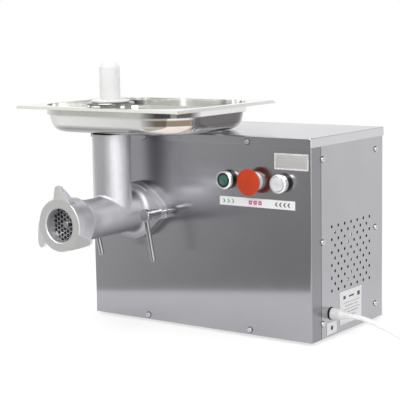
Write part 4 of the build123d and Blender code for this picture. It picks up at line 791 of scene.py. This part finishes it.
print_on_strip("start_print", "start_button", (-8.2, 0.0, 8.2), lambda u: [chevron(u, 1)], green_ink)
print_on_strip("stop_print", "stop_button", (-8.8, 0.0, 8.8), block, red_ink)
print_on_strip("reverse_print", "reverse_button", (-11.1, -3.7, 3.7, 11.1), lambda u: [chevron(u, -1)],
               black_ink)

# The plates on the right cover: plain rules and blocks, and one plain dot
def on_side(back, up):
    """A place so far behind the front and above the base, from the middle of the plates' box."""
    plates = middle_of("side_labels")
    return (FRONT + back * MM - plates.y) / MM, (HOUSING_LOW.z + up * MM - plates.z) / MM


rating_u, rating_v = on_side(118.4, 37.0)
sticker_u, sticker_v = on_side(59.0, 12.7)
rules = [bar(rating_u + du, rating_v + dv, width, height) for du, dv, width, height in (
    (3, 6.5, 52, 0.9), (3, -4.0, 52, 0.9), (-6, 1.2, 26, 1.4), (16, 1.2, 12, 1.4), (-10, -9.0, 18, 1.4),
    (12, -9.0, 22, 1.4), (-2, -14.5, 34, 1.2))]
print_marks("rating_rules", "side_labels", "side", rules, grey_ink)
print_marks(
    "rating_blocks", "side_labels", "side",
    [bar(rating_u - 20, rating_v + 15.5, 7.5, 5.0), bar(rating_u + 2, rating_v + 15.5, 16, 2.6),
     bar(rating_u + 25, rating_v + 15.5, 8, 6.5)], black_ink)
print_marks("sticker_dot", "side_labels", "side", [disc(sticker_u, sticker_v, 3.6)], black_ink)


# The badge's frame, in millimetres: its corners, and its section as steps inward and outward
BADGE_CORNER = 1.2
BADGE_RIM = ((0.0, 0.0), (0.2, 0.55), (1.2, 0.75), (2.0, 0.15), (2.3, 0.05))


def build_badge_frame(work):
    """A raised, bevelled rim round the bare badge."""
    low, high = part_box("badge_plate")
    centre_x, centre_z = (low.x + high.x) / 2, (low.z + high.z) / 2
    rows = []
    for inset, out in BADGE_RIM:
        half_x, half_z = (high.x - low.x) / 2 - inset * MM, (high.z - low.z) / 2 - inset * MM
        corner = (BADGE_CORNER - inset * 0.3) * MM
        ring = []
        for sx, sz, start in ((1, 1, 0), (-1, 1, 90), (-1, -1, 180), (1, -1, 270)):
            for step in range(5):
                angle = math.radians(start + 22.5 * step)
                ring.append(work.verts.new((centre_x + sx * (half_x - corner) + corner * math.cos(angle),
                                            low.y - out * MM,
                                            centre_z + sz * (half_z - corner) + corner * math.sin(angle))))
        rows.append(ring)
    for first, second in zip(rows, rows[1:]):
        bridge(work, first, second)


add_piece("badge_frame", mesh_from("badge_frame", build_badge_frame, CRISP), "base",
          frame_silver)


HEAD_HEIGHT = 2.4 * MM  # of the housing screws
SKIN = 0.02 * MM  # how far the black rings stand off what they lie on


def screw_seats():
    """Where each housing screw's head meets the sheet, and the way it faces."""
    work = bmesh.new()
    work.from_mesh(nodes["housing_screws"].data)
    bmesh.ops.remove_doubles(work, verts=work.verts, dist=1e-6)
    waiting, seats = set(work.verts), []
    middle = (HOUSING_LOW + HOUSING_HIGH) / 2
    middle.y = middle_of("right_cover").y
    while waiting:
        group, front = [], [waiting.pop()]
        while front:
            vert = front.pop()
            group.append(vert.co.copy())
            for edge in vert.link_edges:
                other = edge.other_vert(vert)
                if other in waiting:
                    waiting.remove(other)
                    front.append(other)
        low = Vector([min(co[k] for co in group) for k in range(3)])
        high = Vector([max(co[k] for co in group) for k in range(3)])
        centre, size = (low + high) / 2, high - low
        axis = max(range(3), key=lambda k: size[k])
        way = 1.0 if centre[axis] > middle[axis] else -1.0
        out = Vector([way if k == axis else 0.0 for k in range(3)])
        if out.y <= 0.5:
            seats.append((centre + out * (size[axis] / 2 - HEAD_HEIGHT), out))
    work.free()
    return sorted(seats, key=lambda seat: tuple(round(number / MM) for number in seat[0]))


def build_screw_shade_rings(work):
    """A thin black ring under each screw head, seen from the front or the sides: painted shade round the
    head.
    """
    hole, rim, thickness = 4.2 * MM, 5.0 * MM, 0.40 * MM
    outline = [(SKIN, hole), (SKIN, rim), (0.25 * MM, rim - 0.05 * MM), (thickness, rim - 0.2 * MM),
               (thickness, hole), (SKIN, hole)]
    for seat, out in screw_seats():
        side = Vector(UPWARD if abs(out.z) < 0.5 else RIGHTWARD)
        lathe(work, outline, seat, out, side, segments=28)


add_piece("screw_shade_rings", mesh_from("screw_shade_rings", build_screw_shade_rings), "base", gland_black)


def build_tube_shade_ring(work):
    """A black ring between the feed tube's mouth and the tray: painted shade in the gap under the tray."""
    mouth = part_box("head_casting")[1].z
    neck = middle_of("tray_neck")
    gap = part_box("tray")[0].z - mouth - 0.1 * MM
    hole, rim, bulge = 28.4 * MM, 30.9 * MM, 31.3 * MM
    outline = [(SKIN, hole), (SKIN, rim), (gap * 0.5, bulge), (gap, rim), (gap, hole), (SKIN, hole)]
    lathe(work, outline, Vector((neck.x, neck.y, mouth)), Vector(UPWARD), Vector(RIGHTWARD), segments=72)


add_piece("tube_top_shade_ring", mesh_from("tube_top_shade_ring", build_tube_shade_ring), "base", gland_black)


def build_seam_shade(work):
    """A dark bead in the upright seams between the front panel's returns and the covers: painted shade in
    the gaps.
    """
    cover_low, cover_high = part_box("right_cover")
    left_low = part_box("left_cover")[0]
    for face_x, sign in ((cover_high.x, 1), (left_low.x, -1)):
        inner, outer = face_x - sign * 0.9 * MM, face_x + sign * 0.12 * MM
        middle_y, half = cover_low.y - 0.2 * MM, 0.62 * MM
        bottom, top = HOUSING_LOW.z + 1.0 * MM, HOUSING_HIGH.z - 14.0 * MM
        profile = [(inner, -half), (face_x, -half), (outer, -half * 0.4), (outer, half * 0.4),
                   (face_x, half), (inner, half)]
        low_ring = [work.verts.new((x, middle_y + y, bottom)) for x, y in profile]
        high_ring = [work.verts.new((x, middle_y + y, top)) for x, y in profile]
        bridge(work, low_ring, high_ring)
        work.faces.new(low_ring[::-1])
        work.faces.new(high_ring)


add_piece("seam_shade_bead", mesh_from("seam_shade_bead", build_seam_shade), "base", black_rubber)

# ------------------------------------------------------------------ floor, world and lamps
TABLE_HALF = 8.0
SHADOW_EDGE, WHITE_EDGE = 0.30, 0.8  # the table's shadowed part ends, and its white part starts
CLOTH_EDGE, CLOTH_FAR, CLOTH_HALF = 0.291, 5.5, 5.0  # the grey cloth's start, end and half its width
CLOTH_LIFT = 0.5 * MM
CLOTH_BRIGHT, CLOTH_DIM = (-0.32, 0.74), (0.03, 0.41)  # a place across the cloth, and its brightness there
CLOTH_FACING = (-0.482, -0.876, 0.0)
CLOTH_ACROSS = (0.876, -0.482, 0.0)
SCREEN_FACING = (0.45, 0.89, 0.0)  # from the front screen's middle to its open side
SCREEN_RADIUS = 6.0
SCREEN_TOP, SCREEN_SIDE = 0.75 * SCREEN_RADIUS, 0.30 * SCREEN_RADIUS  # the front screen's edges
CANOPY_LOW, CANOPY_DIM = 0.36 * SCREEN_RADIUS, 0.62 * SCREEN_RADIUS  # where it starts and is darkest


def background_rays(tree):
    """1 for the rays that see the background: the camera's, and those sent on by metal and glass."""
    path = add_node(tree, "ShaderNodeLightPath")
    mirrored = math_node(tree, "MAXIMUM", path.outputs["Is Glossy Ray"], path.outputs["Is Transmission Ray"])
    return math_node(tree, "MAXIMUM", path.outputs["Is Camera Ray"], mirrored)


def bare_material(name):
    """A material that holds only its output, and its tree."""
    material = bpy.data.materials.new(name)
    material.use_nodes = True
    material.node_tree.nodes.remove(material.node_tree.nodes["Principled BSDF"])
    return material, material.node_tree, material.node_tree.nodes["Material Output"].inputs["Surface"]


def make_floor():
    """A pale table top that keeps the grinder's shadow and turns white a little way from it."""
    def build(work):
        bmesh.ops.create_grid(work, x_segments=1, y_segments=1, size=TABLE_HALF)
    floor = bpy.data.objects.new("floor", mesh_from("floor", build))
    scene.collection.objects.link(floor)
    material, tree, surface = bare_material("pale_table")
    distance = add_node(tree, "ShaderNodeVectorMath", operation="LENGTH")
    tree.links.new(add_node(tree, "ShaderNodeTexCoord").outputs["Object"], distance.inputs[0])
    matt = add_node(tree, "ShaderNodeBsdfDiffuse", Color=(0.80, 0.80, 0.80, 1))
    pale = add_node(tree, "ShaderNodeBsdfDiffuse", Color=(0.45, 0.45, 0.45, 1))
    lift = add_node(tree, "ShaderNodeEmission", Strength=0.64)
    shadowed = add_node(tree, "ShaderNodeAddShader")
    tree.links.new(pale.outputs[0], shadowed.inputs[0])
    tree.links.new(lift.outputs[0], shadowed.inputs[1])
    white = add_node(tree, "ShaderNodeEmission", Strength=1.0)
    seen = add_node(tree, "ShaderNodeMixShader")
    whiteness = spread(tree, distance.outputs["Value"], SHADOW_EDGE, WHITE_EDGE, 0.0, 1.0)
    tree.links.new(whiteness, seen.inputs[0])
    tree.links.new(shadowed.outputs[0], seen.inputs[1])
    tree.links.new(white.outputs[0], seen.inputs[2])
    choose = add_node(tree, "ShaderNodeMixShader")
    tree.links.new(background_rays(tree), choose.inputs[0])
    tree.links.new(matt.outputs[0], choose.inputs[1])
    tree.links.new(seen.outputs[0], choose.inputs[2])
    tree.links.new(choose.outputs[0], surface)
    floor.data.materials.append(material)


def add_screen(name, build, shade):
    """A grey studio screen out of the camera's way, which only the grinder's shiny faces meet."""
    screen = bpy.data.objects.new(name, mesh_from(name, build))
    scene.collection.objects.link(screen)
    material, tree, surface = bare_material(name + "_cloth")
    glow = add_node(tree, "ShaderNodeEmission")
    place = add_node(tree, "ShaderNodeTexCoord").outputs["Object"]
    tree.links.new(shade(tree, place), glow.inputs["Strength"])
    tree.links.new(glow.outputs[0], surface)
    screen.data.materials.append(material)
    screen.visible_camera = screen.visible_diffuse = screen.visible_transmission = False
    screen.visible_shadow = screen.visible_volume_scatter = False


def along(tree, place, direction):
    """How far a place lies along a direction."""
    lean = add_node(tree, "ShaderNodeVectorMath", operation="DOT_PRODUCT")
    lean.inputs[1].default_value = direction
    tree.links.new(place, lean.inputs[0])
    return lean.outputs["Value"]


def rising_level(tree, place, low, high, top):
    """A brightness that grows from low to high round the screens' axis, and turns to top overhead."""
    split = add_node(tree, "ShaderNodeSeparateXYZ")
    tree.links.new(place, split.inputs[0])
    rise = spread(tree, split.outputs["Z"], 0.05, 0.75, 0.0, 1.0)
    level = add_node(tree, "ShaderNodeMix")
    tree.links.new(rise, level.inputs[0])
    tree.links.new(spread(tree, along(tree, place, SCREEN_FACING), -0.55, 0.30, low, high), level.inputs[2])
    level.inputs[3].default_value = top
    return level.outputs[0]


def build_dome(work, left_out):
    """The part of a large sphere round the table that a test doesn't leave out."""
    bmesh.ops.create_uvsphere(work, u_segments=96, v_segments=48, radius=SCREEN_RADIUS)
    far = [face for face in work.faces if left_out(face.calc_center_median())]
    bmesh.ops.delete(work, geom=far, context="FACES")


def make_screens():
    """A curved grey screen round the table's front, a canopy over its back and a grey cloth on the table."""
    facing = Vector(SCREEN_FACING)

    def build_curve(work):
        build_dome(work, lambda place: not 0 <= place.z <= SCREEN_TOP or place.dot(facing) > SCREEN_SIDE)

    def shade_curve(tree, place):
        way = add_node(tree, "ShaderNodeVectorMath", operation="NORMALIZE")
        tree.links.new(place, way.inputs[0])
        return rising_level(tree, way.outputs["Vector"], 0.20, 1.0, 1.0)

    def build_canopy(work):
        build_dome(work, lambda place: place.z < CANOPY_LOW or place.dot(facing) < 0.0)

    def shade_canopy(tree, place):
        split = add_node(tree, "ShaderNodeSeparateXYZ")
        tree.links.new(place, split.inputs[0])
        return spread(tree, split.outputs["Z"], CANOPY_LOW, CANOPY_DIM, 1.0, 0.38)

    def build_cloth(work):
        front, across = Vector(CLOTH_FACING), Vector(CLOTH_ACROSS)
        corners = [front * ahead + across * side + Vector((0, 0, CLOTH_LIFT))
                   for ahead, side in ((CLOTH_EDGE, -CLOTH_HALF), (CLOTH_EDGE, CLOTH_HALF),
                                       (CLOTH_FAR, CLOTH_HALF), (CLOTH_FAR, -CLOTH_HALF))]
        work.faces.new([work.verts.new(corner) for corner in corners])

    def shade_cloth(tree, place):
        (start, bright), (end, dim) = CLOTH_BRIGHT, CLOTH_DIM
        return spread(tree, along(tree, place, CLOTH_ACROSS), start, end, bright, dim)

    add_screen("front_screen", build_curve, shade_curve)
    add_screen("back_canopy", build_canopy, shade_canopy)
    add_screen("front_cloth", build_cloth, shade_cloth)


def make_world():
    """A white background, and a studio's soft light that is brighter behind the grinder and overhead."""
    world = bpy.data.worlds.new("studio")
    scene.world = world
    world.use_nodes = True
    tree = world.node_tree
    white = tree.nodes["Background"]
    white.inputs["Color"].default_value = (1.0, 1.0, 1.0, 1.0)
    white.inputs["Strength"].default_value = 1.0
    studio = add_node(tree, "ShaderNodeBackground", Color=(1.0, 1.0, 1.0, 1.0))
    direction = add_node(tree, "ShaderNodeTexCoord").outputs["Generated"]
    tree.links.new(rising_level(tree, direction, 0.20, 0.95, 0.90), studio.inputs["Strength"])
    choose = add_node(tree, "ShaderNodeMixShader")
    tree.links.new(background_rays(tree), choose.inputs[0])
    tree.links.new(studio.outputs[0], choose.inputs[1])
    tree.links.new(white.outputs[0], choose.inputs[2])
    tree.links.new(choose.outputs[0], tree.nodes["World Output"].inputs["Surface"])


def add_lamp(name, place, target, size, watts):
    """A square soft lamp aimed at a point."""
    lamp = bpy.data.objects.new(name, bpy.data.lights.new(name, "AREA"))
    lamp.data.shape = "RECTANGLE"
    lamp.data.size, lamp.data.size_y = size
    lamp.data.energy = watts
    place, target = Vector(place), Vector(target)
    lamp.matrix_world = (Matrix.Translation(place)
                         @ (target - place).to_track_quat("-Z", "Y").to_matrix().to_4x4())
    scene.collection.objects.link(lamp)
    return lamp


make_floor()
make_screens()
make_world()
add_lamp("overhead_softbox", (-0.3, -0.5, 2.4), (0, 0, 0.2), (1.4, 1.0), 12.0)
add_lamp("left_softbox", (-2.0, -1.4, 1.5), (0, 0, 0.2), (0.9, 1.2), 6.0).visible_glossy = False
add_lamp("strip_softbox", (1.05, -0.85, 0.63), (-0.05, -0.1, 0.50), (0.36, 1.15), 2.4)
add_lamp("front_softbox", (0.45, -1.55, 1.30), (0.0, -0.05, 0.2), (0.8, 0.6), 9.0)
